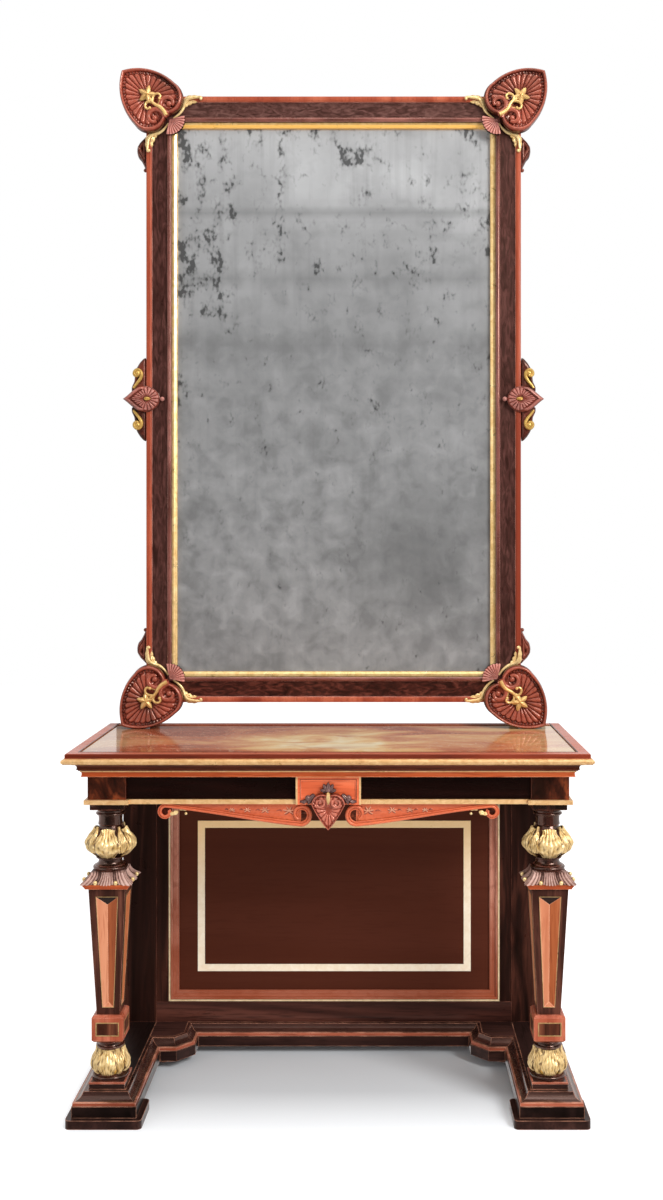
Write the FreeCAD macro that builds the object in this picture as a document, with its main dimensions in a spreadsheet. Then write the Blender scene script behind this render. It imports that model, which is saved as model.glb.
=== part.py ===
# Pier table with its standing mirror, about 1.3 m wide and 2.75 m high.
# +Z is up, the front faces -Y, and the origin lies on the floor below the middle of the whole.
# The right half is built, and the left half mirrors it about the plane X = 0.
import FreeCAD, Part
import math
import os
import re
import Sketcher
from FreeCAD import Placement, Rotation, Vector

# Driving dimensions in millimetres.
SIZES = {
    # the table as a whole
    "table_width": 1297, "table_depth": 520, "table_height": 914,
    # top: a stone slab inside a rim, over a nosing and a cove
    "rim_height": 12, "rim_inset": 8, "rim_width": 30,
    "nosing_height": 14, "nosing_bulge": 5,
    "stone_sink": 2, "stone_clearance": 0.5,
    "cove_height": 22, "cove_top_inset": 20, "cove_foot_inset": 37, "cove_sag": 4,
    # frieze: fillet, corner blocks, recessed rails and a gilt moulding under them
    "fillet_height": 14, "fillet_inset": 40, "fillet_bulge": 2,
    "frieze_inset": 54, "frieze_height": 59, "frieze_recess": 10,
    "block_side": 94, "rail_thickness": 25,
    "collar_height": 11, "collar_projection": 8, "collar_bulge": 2,
    "tenon_length": 20, "tenon_thickness": 11, "tenon_shoulder": 14,
    # centre block of the frieze
    "centre_width": 160, "centre_projection": 14, "centre_margin": 12, "centre_sink": 4,
    # heart cartouche
    "heart_width": 84, "heart_height": 91, "heart_thickness": 24, "heart_drop": 61,
    "heart_shoulder": 62, "heart_cleft": 16, "heart_lobe_bulge": 17, "heart_side_bulge": 9,
    "crest_width": 14, "crest_height": 26, "crest_bulge": 5,
    # scroll aprons under the frieze
    "apron_inner": 41, "apron_gap": 75.5, "apron_thickness": 22, "apron_setback": 4,
    "inner_volute": 29, "outer_volute": 20, "apron_tail": 16,
    # gilt sprigs under the aprons
    "sprig_length": 34, "sprig_height": 14, "sprig_droop": 11, "sprig_bulge": 3,
    "sprig_thickness": 10,
    # base platform
    "pad_height": 22, "pad_width": 187, "pad_depth": 121, "pad_setback": 8, "pad_corner": 12,
    "runner_width": 159, "fascia_height": 28,
    "band_height": 8, "band_inset": 2, "moulding_height": 19, "moulding_inset": 4,
    "moulding_ledge": 9, "moulding_sag": 4, "base_projection": 33,
    "ear_reach": 90, "ear_depth": 168, "ear_chamfer": 45, "stretcher_depth": 67,
    # legs
    "rod_radius": 6, "rod_clearance": 0.3, "rod_bite": 18,
    "plinth_side": 90, "plinth_height": 17,
    "base_ring_radius": 44.5, "base_ring_height": 14, "base_ring_bulge": 6,
    "lower_bulb_height": 62, "lower_bulb_foot": 36, "lower_bulb_head": 34, "lower_bulb_swell": 15.5,
    "lower_neck_height": 20, "lower_neck_radius": 33, "lower_neck_sag": 3,
    "die_side": 79, "die_height": 66, "die_chamfer": 6,
    "tablet_width": 58, "tablet_height": 34, "tablet_thickness": 3,
    "pillar_foot_side": 57, "pillar_head_side": 91,
    "facet_head_width": 51, "facet_foot_width": 25, "facet_head_margin": 21, "facet_foot_margin": 19,
    "facet_depth": 11, "facet_floor": 3,
    "cap_height": 39, "cap_fillet_height": 13, "cap_foot_side": 106, "cap_fillet_side": 118,
    "cap_lip_side": 136, "cap_head_side": 86,
    "upper_ring_height": 33, "upper_ring_radius": 43, "upper_ring_bead": 11, "upper_ring_bulge": 4.5,
    "upper_neck_radius": 30, "upper_neck_sag": 3,
    "upper_bulb_height": 80, "upper_bulb_waist": 31, "upper_bulb_radius": 64, "upper_bulb_belly": 28,
    "upper_bulb_swell": 6, "upper_bulb_shoulder": 5,
    "vase_height": 41, "vase_waist": 30, "vase_sag": 3, "vase_fillet": 36, "vase_ring": 43,
    "vase_ring_height": 16, "vase_ring_bulge": 3,
    "abacus_height": 16, "abacus_side": 86,
    # back of the table
    "stile_width": 33, "bottom_rail_height": 56, "bottom_rail_bulge": 5, "top_rail_height": 116,
    "panel_thickness": 8, "panel_clearance": 0.5, "lip_width": 8, "lip_thickness": 8,
    "panel_mould_width": 29, "panel_mould_depth": 16, "panel_mould_edge": 5, "panel_mould_sag": 3,
    "line_width": 20, "line_margin": 52, "line_head_margin": 81, "line_thickness": 1,
    # mirror frame, glass and back
    "mirror_width": 1044, "mirror_height": 1688, "mirror_wall_gap": 6,
    "core_width": 68, "core_depth": 62, "core_rebate": 16, "glass_setback": 38,
    "red_band_width": 15, "red_band_height": 10, "red_band_bulge": 2,
    "bead_width": 10, "bead_height": 8, "bead_bulge": 2,
    "slip_width": 16, "slip_rise": 4, "slip_edge": 4, "slip_sag": 5,
    "glass_thickness": 6, "glass_clearance": 2, "backboard_thickness": 12, "backboard_clearance": 1,
    # carved shells at the corners of the mirror
    "shell_length": 172, "shell_half_width": 80, "shell_shoulder": 42, "shell_lobe_bulge": 34,
    "shell_side_bulge": 21, "shell_thickness": 26, "shell_cusp_inset": 57,
    "shell_rim": 12, "shell_point_rim": 19, "shell_dish": 12,
    "field_drop": 2, "field_lobe_ease": 11, "field_side_ease": 2,
    "spray_length": 96, "spray_width": 52, "spray_start": 22, "spray_belly": 58,
    "spray_thickness": 7, "spray_bulge": 12,
    "fan_radius": 27, "fan_inset": 83, "fan_thickness": 12,
    "scroll_start": 108, "scroll_length": 98, "scroll_reach": 28, "scroll_hook": 12, "scroll_bulge": 7,
    "scroll_thickness": 24,
    "leaf_start": 118, "leaf_length": 54, "leaf_width": 17, "leaf_bulge": 3, "leaf_thickness": 7,
    # ornaments at the middle of the mirror's sides
    "palmette_reach": 63, "palmette_root": 40, "palmette_belly": 16, "palmette_height": 78,
    "palmette_bulge": 10, "palmette_thickness": 18,
    "spine_length": 236, "spine_reach": 20, "spine_bulge": 6, "spine_thickness": 24,
    "curl_radius": 13, "curl_offset": 7, "curl_place": 58, "curl_thickness": 9,
    # what holds the mirror
    "foot_block_width": 24, "foot_block_inset": 2,
    "plate_width": 36, "plate_thickness": 3, "plate_margin": 15, "plate_rise": 40, "plate_inset": 34,
    "plate_hole_radius": 3.2, "plate_hole_drop": 15,
    "screw_radius": 2, "screw_length": 24, "screw_head_radius": 4.5, "screw_head_height": 2.5,
    "screw_spacing": 40, "screw_clearance": 0.2,
}

# Places and lengths worked out from the driving dimensions.
PLACES = {
    "half_width": "table_width / 2",
    "front": "-table_depth / 2",
    "back": "table_depth / 2",
    "rim_foot": "table_height - rim_height",
    "nosing_foot": "rim_foot - nosing_height",
    "cove_foot": "nosing_foot - cove_height",
    "fillet_foot": "cove_foot - fillet_height",
    "collar_top": "fillet_foot - frieze_height",
    "frieze_foot": "collar_top - collar_height",
    "stone_top": "table_height - stone_sink",
    "edge_width": "rim_inset + rim_width",
    "leg_x": "half_width - frieze_inset - block_side / 2",
    "leg_y": "front + frieze_inset + block_side / 2",
    "block_inner": "leg_x - block_side / 2",
    "block_outer": "leg_x + block_side / 2",
    "block_front": "leg_y - block_side / 2",
    "block_back": "leg_y + block_side / 2",
    "field_front": "block_front + frieze_recess",
    "field_outer": "block_outer - frieze_recess",
    "collar_half": "block_side / 2 + collar_projection",
    "apron_outer": "block_inner - apron_gap",
    # base
    "fascia_top": "pad_height + fascia_height",
    "band_top": "fascia_top + band_height",
    "base_top": "band_top + moulding_height",
    "runner_inner": "leg_x - runner_width / 2",
    "runner_outer": "leg_x + runner_width / 2",
    "runner_front": "leg_y - runner_width / 2",
    "ear_inner": "runner_inner - ear_reach",
    "ear_front": "back - ear_depth",
    "stretcher_front": "back - stretcher_depth",
    "post_front": "stretcher_front + base_projection",
    # leg heights, from the floor up and from the frieze down
    "plinth_top": "base_top + plinth_height",
    "base_ring_top": "plinth_top + base_ring_height",
    "lower_bulb_top": "base_ring_top + lower_bulb_height",
    "die_foot": "lower_bulb_top + lower_neck_height",
    "die_top": "die_foot + die_height",
    "abacus_foot": "frieze_foot - abacus_height",
    "vase_foot": "abacus_foot - vase_height",
    "upper_bulb_foot": "vase_foot - upper_bulb_height",
    "upper_ring_foot": "upper_bulb_foot - upper_ring_height",
    "cap_foot": "upper_ring_foot - cap_height",
    "rod_hole": "rod_radius + rod_clearance",
    "facet_foot": "die_top + facet_foot_margin",
    "facet_head": "cap_foot - facet_head_margin",
    "pillar_slope": "(pillar_head_side - pillar_foot_side) / 2 / (cap_foot - die_top)",
    "facet_foot_face": "pillar_foot_side / 2 + pillar_slope * facet_foot_margin",
    "facet_head_face": "pillar_head_side / 2 - pillar_slope * facet_head_margin",
    # back of the table
    "frame_depth": "panel_mould_depth + panel_thickness + lip_thickness",
    "frame_front": "back - frame_depth",
    "panel_front": "frame_front + panel_mould_depth",
    "panel_back": "panel_front + panel_thickness",
    "opening_half": "block_inner - stile_width",
    "opening_foot": "base_top + bottom_rail_height",
    "opening_head": "cove_foot - top_rail_height",
    "line_half": "opening_half - panel_mould_width - line_margin",
    "line_foot": "opening_foot + panel_mould_width + line_margin",
    "line_head": "opening_head - panel_mould_width - line_head_margin",
    # mirror: the lower shells stand on the stone, so their lowest point sets its height
    "mirror_half": "mirror_width / 2",
    "mirror_back": "back - mirror_wall_gap",
    "side_run": "shell_length - shell_shoulder",
    "side_chord": "sqrt(shell_half_width ^ 2 + side_run ^ 2)",
    "side_radius": "side_chord ^ 2 / (8 * shell_side_bulge) + shell_side_bulge / 2",
    "side_offset": "(side_radius - shell_side_bulge) / side_chord",
    "side_centre_x": "shell_half_width / 2 - side_offset * side_run",
    "side_centre_y": "(shell_shoulder + shell_length) / 2 - side_offset * shell_half_width",
    "shell_reach": "(side_centre_x + side_centre_y) / sqrt(2) + side_radius",
    "mirror_foot": "stone_top + shell_reach - shell_cusp_inset",
    "mirror_head": "mirror_foot + mirror_height",
    "mirror_middle": "mirror_foot + mirror_height / 2",
    "core_front": "mirror_back - core_depth",
    "band_front": "core_front - red_band_height",
    "sight": "core_width + slip_width",
    "glass_back": "mirror_back - glass_setback",
    "glass_edge": "core_width + glass_clearance",
    "board_edge": "core_width - core_rebate + backboard_clearance",
    "plate_x": "mirror_half - plate_inset",
    "screw_hole": "screw_radius + screw_clearance",
    "screw_seat": "mirror_back + plate_thickness",
    "screw_low": "mirror_head - core_width - screw_spacing",
}
CONVEX = "1"
CONCAVE = "-1"
SQUARE = "0"
HALF_OCTAGON = repr(math.tan(math.radians(22.5)))
ROUND_CORNER = repr(1 - math.sqrt(0.5))
FACING = Rotation(Vector(1, 0, 0), 90)
UPRIGHT = Vector(0, 1, 0)

doc = FreeCAD.newDocument("pier_table")
sheet = doc.addObject("Spreadsheet::Sheet", "Sizes")
for row, (alias, size) in enumerate(SIZES.items(), start=1):
    sheet.set(f"A{row}", alias)
    sheet.set(f"B{row}", str(size))
    sheet.setAlias(f"B{row}", alias)
doc.recompute()
nodes = []


def expand(text):
    """Turn names of sizes and places into an expression on the sheet's cells."""
    def swap(match):
        word = match.group(0)
        if word in PLACES:
            return "(" + expand(PLACES[word]) + ")"
        return "Sizes." + word if word in SIZES else word
    return re.sub(r"[a-z_]+", swap, text)


def value(text):
    """The number that an expression comes to."""
    return float(sheet.evalExpression(expand(text)))


def bind(thing, prop, text):
    thing.setExpression(prop, expand(text))


def place(thing, x="0", y="0", z="0", turn=Rotation(), prop="Placement"):
    setattr(thing, prop, Placement(Vector(), turn))
    for axis, text in zip("xyz", (x, y, z)):
        bind(thing, f"{prop}.Base.{axis}", text)


def node(thing, label):
    """Name a finished sub-part and list it for writing."""
    thing.Label = label
    nodes.append(thing)
    return thing


def new_body(x="0", y="0", z="0", turn=Rotation()):
    body = doc.addObject("PartDesign::Body", "Body")
    place(body, x, y, z, turn)
    return body


def new_sketch(body, plane, lift="0"):
    sketch = body.newObject("Sketcher::SketchObject", "Sketch")
    origin = next(item for item in body.Origin.OriginFeatures if item.Role == plane)
    sketch.AttachmentSupport = [(origin, "")]
    sketch.MapMode = "FlatFace"
    bind(sketch, "AttachmentOffset.Base.z", lift)
    return sketch


def bulge_radius(start, end, bulge):
    """Radius of an arc over a chord, from how far it stands off the chord."""
    run = f"(({end[0]}) - ({start[0]}))"
    rise = f"(({end[1]}) - ({start[1]}))"
    return f"({run} ^ 2 + {rise} ^ 2) / (8 * ({bulge})) + ({bulge}) / 2"


def arc_between(start, end, bulge):
    """Arc whose middle lies off the chord: to the right of the way for a positive bulge."""
    chord = end - start
    right = Vector(chord.y, -chord.x, 0).normalize()
    middle = (start + end) * 0.5
    radius = chord.Length ** 2 / (8 * abs(bulge)) + abs(bulge) / 2
    centre = middle + right * (bulge - math.copysign(radius, bulge))
    first, last = (start, end) if bulge > 0 else (end, start)
    angles = [math.atan2(point.y - centre.y, point.x - centre.x) for point in (first, last)]
    return Part.ArcOfCircle(Part.Circle(centre, Vector(0, 0, 1), radius), *angles)


def draw_loop(sketch, points):
    """Closed outline, drawn anticlockwise: each point is (x, y) or (x, y, bulge of the edge after it)."""
    first = sketch.GeometryCount
    count = len(points)
    corners = [Vector(value(point[0]), value(point[1]), 0) for point in points]
    ends = []
    for index, point in enumerate(points):
        start, end = corners[index], corners[(index + 1) % count]
        bulge = value(point[2]) if len(point) > 2 else 0
        if bulge:
            sketch.addGeometry(arc_between(start, end, bulge))
        else:
            sketch.addGeometry(Part.LineSegment(start, end))
        ends.append((2, 1) if bulge < 0 else (1, 2))
    for index, point in enumerate(points):
        following = (index + 1) % count
        here, there = first + index, first + following
        start, end = ends[index]
        sketch.addConstraint(Sketcher.Constraint("Coincident", here, end, there, ends[following][0]))
        for kind, text, number in zip(("DistanceX", "DistanceY"), point, corners[index]):
            limit = sketch.addConstraint(Sketcher.Constraint(kind, -1, 1, here, start, number))
            bind(sketch, f"Constraints[{limit}]", text)
        if len(point) > 2:
            radius = bulge_radius(point, points[following], f"abs({point[2]})")
            number = sketch.addConstraint(Sketcher.Constraint("Radius", here, value(radius)))
            bind(sketch, f"Constraints[{number}]", radius)


def outline(body, plane, *loops, lift="0"):
    sketch = new_sketch(body, plane, lift)
    for points in loops:
        draw_loop(sketch, points)
    return sketch


def circle(body, plane, x, y, radius, lift="0"):
    sketch = new_sketch(body, plane, lift)
    sketch.addGeometry(Part.Circle(Vector(value(x), value(y), 0), Vector(0, 0, 1), value(radius)))
    limits = (
        ("DistanceX", (-1, 1, 0, 3), x),
        ("DistanceY", (-1, 1, 0, 3), y),
        ("Radius", (0,), radius),
    )
    for kind, where, text in limits:
        number = sketch.addConstraint(Sketcher.Constraint(kind, *where, value(text)))
        bind(sketch, f"Constraints[{number}]", text)
    return sketch


def pad(body, sketch, length, symmetric=False):
    feature = body.newObject("PartDesign::Pad", "Pad")
    feature.Profile = sketch
    feature.SideType = "Symmetric" if symmetric else "One side"
    bind(feature, "Length", length)
    return feature


def pocket(body, sketch, depth=None):
    """Cut against the sketch's normal, or right through on both sides with no depth."""
    feature = body.newObject("PartDesign::Pocket", "Pocket")
    feature.Profile = sketch
    if depth is None:
        feature.Type = "ThroughAll"
        feature.SideType = "Symmetric"
    else:
        bind(feature, "Length", depth)
    return feature


def loft(body, lower, upper, kind="PartDesign::AdditiveLoft"):
    feature = body.newObject(kind, "Loft")
    feature.Profile = lower
    feature.Sections = [upper]
    feature.Ruled = True
    return feature


def four_times(body, feature):
    """Repeat a feature on the four sides of a square piece."""
    pattern = body.newObject("PartDesign::PolarPattern", "PolarPattern")
    pattern.Originals = [feature]
    axis = next(item for item in body.Origin.OriginFeatures if item.Role == "Z_Axis")
    pattern.Axis = (axis, [""])
    pattern.Angle = 360
    pattern.Occurrences = 4
    body.Tip = pattern


def rectangle(left, low, right, high):
    return [(left, low), (right, low), (right, high), (left, high)]


def square(side):
    return rectangle(f"-{side} / 2", f"-{side} / 2", f"{side} / 2", f"{side} / 2")


def rounded_rectangle(left, low, right, high, radius):
    bulge = f"{ROUND_CORNER} * {radius}"
    return [
        (f"{left} + {radius}", low), (f"{right} - {radius}", low, bulge),
        (right, f"{low} + {radius}"), (right, f"{high} - {radius}", bulge),
        (f"{right} - {radius}", high), (f"{left} + {radius}", high, bulge),
        (left, f"{high} - {radius}"), (left, f"{low} + {radius}", bulge),
    ]


def box(left, right, near, far, low, high):
    """Board with square edges between two places on each axis."""
    board = doc.addObject("Part::Box", "Board")
    place(board, left, near, low)
    for prop, start, end in (("Length", left, right), ("Width", near, far), ("Height", low, high)):
        bind(board, prop, f"({end}) - ({start})")
    return board


def mirrored(source):
    copy = doc.addObject("Part::Mirroring", "Mirrored")
    copy.Source = source
    copy.Normal = Vector(1, 0, 0)
    return copy


def group(label, members):
    compound = doc.addObject("Part::Compound", "Group")
    compound.Links = members
    return node(compound, label)


def pair(label, source):
    return group(label, [source, mirrored(source)])


def left_and_right(label, source):
    node(source, label + "_right")
    node(mirrored(source), label + "_left")


def joined(first, *others):
    fused = doc.addObject("Part::MultiFuse", "Joined")
    fused.Shapes = [first, *others]
    fused.Refine = True
    return fused


def cut(base, tool):
    result = doc.addObject("Part::Cut", "Cut")
    result.Base = base
    result.Tool = tool
    return result


def pin(x, y, z, radius, length, turn=Rotation()):
    cylinder = doc.addObject("Part::Cylinder", "Pin")
    place(cylinder, x, y, z, turn)
    bind(cylinder, "Radius", radius)
    bind(cylinder, "Height", length)
    return cylinder


def strip(section, width, length, start, end, x="0", y="0", z="0", turn=Rotation()):
    """Moulding along X with its outer edge on Y = 0 and its inside at +Y, mitred at both ends.
    start and end are the tangents of the mitres: 1 outside corner, -1 inside corner, 0 square."""
    width, length = f"({width})", f"({length})"
    body = new_body(x, y, z, turn)
    pad(body, outline(body, "YZ_Plane", section), f"{length} + 2 * {width}", symmetric=True)
    reach = f"{length} / 2"
    ahead = [
        (f"{reach} + {end} * {width}", f"-{width}"), (f"{reach} + 3 * {width}", f"-{width}"),
        (f"{reach} + 3 * {width}", f"2 * {width}"), (f"{reach} - 2 * {end} * {width}", f"2 * {width}"),
    ]
    behind = [
        (f"-{reach} - {start} * {width}", f"-{width}"),
        (f"-{reach} + 2 * {start} * {width}", f"2 * {width}"),
        (f"-{reach} - 3 * {width}", f"2 * {width}"), (f"-{reach} - 3 * {width}", f"-{width}"),
    ]
    pocket(body, outline(body, "XY_Plane", ahead, behind))
    return body


def table_edge(label, section, width, inset):
    """Moulding round the front and the two sides of the table, square at the back."""
    ahead = strip(section, width, f"table_width - 2 * {inset}", CONVEX, CONVEX, y=f"front + {inset}")
    side = strip(
        section, width, f"table_depth - {inset}", CONVEX, SQUARE,
        x=f"half_width - {inset}", y=f"{inset} / 2", turn=Rotation(Vector(0, 0, 1), 90),
    )
    return group(label, [ahead, side, mirrored(side)])


def upright_frame(section, width, half, foot, head, depth):
    """Mitred mouldings round an upright rectangle: the bottom, top and right ones.
    The section's +Z faces forward."""
    middle = f"(({foot}) + ({head})) / 2"
    across, along = f"2 * ({half})", f"({head}) - ({foot})"
    hanging, standing = Rotation(UPRIGHT, 180) * FACING, Rotation(UPRIGHT, -90) * FACING
    bottom = strip(section, width, across, CONVEX, CONVEX, "0", depth, foot, FACING)
    top = strip(section, width, across, CONVEX, CONVEX, "0", depth, head, hanging)
    side = strip(section, width, along, CONVEX, CONVEX, half, depth, middle, standing)
    return bottom, top, side


def turned(profile):
    """Lathe-turned piece of a leg, drilled for the rod: the profile runs up its outside."""
    body = new_body("leg_x", "leg_y")
    points = [("rod_hole", profile[0][1]), *profile, ("rod_hole", profile[-1][1])]
    sketch = outline(body, "XZ_Plane", points)
    feature = body.newObject("PartDesign::Revolution", "Revolution")
    feature.Profile = sketch
    feature.ReferenceAxis = (sketch, ["V_Axis"])
    feature.Angle = 360
    return body


def drill_for_rod(body):
    pocket(body, circle(body, "XY_Plane", "0", "0", "rod_hole"))


def square_block(side, low, high):
    """Square piece of a leg, drilled for the rod."""
    body = new_body("leg_x", "leg_y")
    pad(body, outline(body, "XY_Plane", square(side), lift=low), f"{high} - {low}")
    drill_for_rod(body)
    return body


def carved(points, x, y, z, thickness, angle=0):
    """Carving cut from a flat outline in XZ that stands forward of the plane y, turned about Y."""
    body = new_body(x, y, z, Rotation(UPRIGHT, angle) * FACING)
    pad(body, outline(body, "XY_Plane", points), thickness)
    return body


def make_base():
    pads = []
    for near in ("front + pad_setback", "back - pad_depth"):
        body = new_body("leg_x", near)
        shape = rounded_rectangle("-pad_width / 2", "0", "pad_width / 2", "pad_depth", "pad_corner")
        pad(body, outline(body, "XY_Plane", shape), "pad_height")
        pads += [body, mirrored(body)]
    group("foot_pads", pads)
    runner = joined(
        box("runner_inner", "runner_outer", "runner_front", "back", "pad_height", "fascia_top"),
        box("runner_inner + base_projection", "runner_outer - base_projection",
            "runner_front + base_projection", "back", "fascia_top", "base_top"),
    )
    socket = pin("leg_x", "leg_y", "base_top - rod_bite", "rod_hole", "rod_bite")
    left_and_right("runner", cut(runner, socket))
    node(joined(
        box("-ear_inner", "ear_inner", "stretcher_front", "back", "pad_height", "fascia_top"),
        box("-ear_inner - base_projection", "ear_inner + base_projection", "post_front", "back",
            "fascia_top", "base_top"),
    ), "rear_stretcher")
    ear = new_body()
    lower = [
        ("ear_inner", "back"), ("ear_inner", "ear_front + ear_chamfer"),
        ("ear_inner + ear_chamfer", "ear_front"), ("runner_inner", "ear_front"), ("runner_inner", "back"),
    ]
    cut_back = f"ear_chamfer + {HALF_OCTAGON} * base_projection"
    upper = [
        ("ear_inner + base_projection", "back"), ("ear_inner + base_projection", f"ear_front + {cut_back}"),
        (f"ear_inner + {cut_back}", "ear_front + base_projection"),
        ("runner_inner + base_projection", "ear_front + base_projection"),
        ("runner_inner + base_projection", "back"),
    ]
    pad(ear, outline(ear, "XY_Plane", lower, lift="pad_height"), "fascia_height")
    pad(ear, outline(ear, "XY_Plane", upper, lift="fascia_top"), "base_top - fascia_top")
    pair("corner_blocks", ear)


def run_round_base(label, section):
    """Mitred strips that follow the front outline of the base, from its outer back corner inward."""
    runs = (
        (90, "back - runner_front", CONVEX, SQUARE, "runner_outer", "(runner_front + back) / 2"),
        (0, "runner_width", CONVEX, CONVEX, "leg_x", "runner_front"),
        (-90, "ear_front - runner_front", CONCAVE, CONVEX,
         "runner_inner", "(ear_front + runner_front) / 2"),
        (0, "ear_reach - ear_chamfer", HALF_OCTAGON, CONCAVE,
         "(ear_inner + ear_chamfer + runner_inner) / 2", "ear_front"),
        (-45, "ear_chamfer * sqrt(2)", HALF_OCTAGON, HALF_OCTAGON,
         "ear_inner + ear_chamfer / 2", "ear_front + ear_chamfer / 2"),
        (-90, "stretcher_front - ear_front - ear_chamfer", CONCAVE, HALF_OCTAGON,
         "ear_inner", "(stretcher_front + ear_front + ear_chamfer) / 2"),
    )
    strips = []
    for angle, length, start, end, x, y in runs:
        turn = Rotation(Vector(0, 0, 1), angle)
        side = strip(section, "base_projection", length, start, end, x, y, turn=turn)
        strips += [side, mirrored(side)]
    rear = strip(section, "base_projection", "2 * ear_inner", CONCAVE, CONCAVE, y="stretcher_front")
    group(label, [*strips, rear])


def make_base_mouldings():
    run_round_base("base_band", rectangle("band_inset", "fascia_top", "base_projection", "band_top"))
    run_round_base("base_moulding", [
        ("moulding_inset", "band_top"), ("base_projection", "band_top"), ("base_projection", "base_top"),
        ("base_projection - moulding_ledge", "base_top", "-moulding_sag"),
    ])


def make_legs():
    pair("leg_plinths", square_block("plinth_side", "base_top", "plinth_top"))
    pair("leg_base_rings", turned([
        ("base_ring_radius - base_ring_bulge", "plinth_top", "base_ring_bulge"),
        ("base_ring_radius - base_ring_bulge", "base_ring_top"),
    ]))
    pair("leg_lower_bulbs", turned([
        ("lower_bulb_foot", "base_ring_top", "lower_bulb_swell"), ("lower_bulb_head", "lower_bulb_top"),
    ]))
    pair("leg_lower_necks", turned([
        ("lower_neck_radius", "lower_bulb_top", "-lower_neck_sag"), ("lower_neck_radius", "die_foot"),
    ]))
    make_dies()
    make_pillars()
    cap = new_body("leg_x", "leg_y")
    lip = "cap_foot + cap_fillet_height"
    loft(cap, outline(cap, "XY_Plane", square("cap_foot_side"), lift="cap_foot"),
         outline(cap, "XY_Plane", square("cap_fillet_side"), lift=lip))
    loft(cap, outline(cap, "XY_Plane", square("cap_lip_side"), lift=lip),
         outline(cap, "XY_Plane", square("cap_head_side"), lift="upper_ring_foot"))
    drill_for_rod(cap)
    pair("leaf_caps", cap)
    bead_top = "upper_ring_foot + upper_ring_bead"
    pair("leg_upper_rings", turned([
        ("upper_ring_radius - upper_ring_bulge", "upper_ring_foot", "upper_ring_bulge"),
        ("upper_ring_radius - upper_ring_bulge", bead_top, "-upper_neck_sag"),
        ("upper_neck_radius", "upper_bulb_foot"),
    ]))
    pair("leg_upper_bulbs", turned([
        ("upper_bulb_waist", "upper_bulb_foot", "upper_bulb_swell"),
        ("upper_bulb_radius", "upper_bulb_foot + upper_bulb_belly", "upper_bulb_shoulder"),
        ("upper_bulb_waist", "vase_foot"),
    ]))
    ring_foot = "abacus_foot - vase_ring_height"
    vase = turned([
        ("vase_waist", "vase_foot", "-vase_sag"), ("vase_fillet", ring_foot, "vase_ring_bulge"),
        ("vase_ring", "abacus_foot"),
    ])
    pad(vase, outline(vase, "XY_Plane", square("abacus_side"), lift="abacus_foot"), "abacus_height")
    drill_for_rod(vase)
    pair("leg_vases", vase)
    rod_foot, rod_head = "base_top - rod_bite", "collar_top + rod_bite"
    pair("leg_tie_rods", pin("leg_x", "leg_y", rod_foot, "rod_radius", f"{rod_head} - ({rod_foot})"))


def make_dies():
    die = square_block("die_side", "die_foot", "die_top")
    doc.recompute()
    rims = doc.addObject("Part::Chamfer", "Chamfered")
    rims.Base = die
    bevel = value("die_chamfer")
    rims.Edges = [
        (number, bevel, bevel) for number, edge in enumerate(die.Shape.Edges, start=1)
        if edge.Curve.TypeId == "Part::GeomLine" and edge.BoundBox.ZLength < bevel
    ]
    middle = "(die_foot + die_top) / 2"
    window = rectangle("-tablet_width / 2", f"{middle} - tablet_height / 2",
                       "tablet_width / 2", f"{middle} + tablet_height / 2")
    tablet = new_body("leg_x", "leg_y")
    bed = "die_side / 2 - tablet_thickness"
    pad(tablet, outline(tablet, "XZ_Plane", window, lift=bed), "tablet_thickness")
    tablets = round_leg(tablet)
    pair("leg_dies", cut(rims, tablets))
    pair("die_tablets", tablets)


def round_leg(body):
    """The piece and its copies on the other three sides of the leg."""
    ring = doc.addObject("Part::Compound", "Ring")
    copies = [body]
    for turn in (90, 180, 270):
        link = doc.addObject("App::Link", "Copy")
        link.LinkedObject = body
        place(link, "leg_x", "leg_y", "0", Rotation(Vector(0, 0, 1), turn), prop="LinkPlacement")
        copies.append(link)
    ring.Links = copies
    return ring


def make_pillars():
    pillar = new_body("leg_x", "leg_y")
    loft(pillar, outline(pillar, "XY_Plane", square("pillar_foot_side"), lift="die_top"),
         outline(pillar, "XY_Plane", square("pillar_head_side"), lift="cap_foot"))
    drill_for_rod(pillar)
    levels = (
        ("facet_foot", "facet_foot_width", "facet_foot_face"),
        ("facet_head", "facet_head_width", "facet_head_face"),
    )
    beds = []
    inlays = []
    inlay = new_body("leg_x", "leg_y")
    for level, width, face in levels:
        left, right = f"-{width} / 2", f"{width} / 2"
        floor = f"-{face} + facet_depth"
        bed = rectangle(left, f"-{face} - facet_depth", right, floor)
        groove = [
            (left, f"-{face}"), ("0", f"{floor} - facet_floor"), (right, f"-{face}"),
            (right, floor), (left, floor),
        ]
        beds.append(outline(pillar, "XY_Plane", bed, lift=level))
        inlays.append(outline(inlay, "XY_Plane", groove, lift=level))
    four_times(pillar, loft(pillar, *beds, kind="PartDesign::SubtractiveLoft"))
    loft(inlay, *inlays)
    left_and_right("leg_pillar", pillar)
    pair("pillar_facets", round_leg(inlay))


def rail_section(face, recess, thickness):
    """Frieze rail in section: a recessed field under a proud upper edge."""
    return [
        (f"{face} + {recess}", "frieze_foot"), (f"{face} + {recess} + {thickness}", "frieze_foot"),
        (f"{face} + {recess} + {thickness}", "cove_foot"), (face, "cove_foot"),
        (face, "fillet_foot"), (f"{face} + {recess}", "fillet_foot"),
    ]


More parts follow.
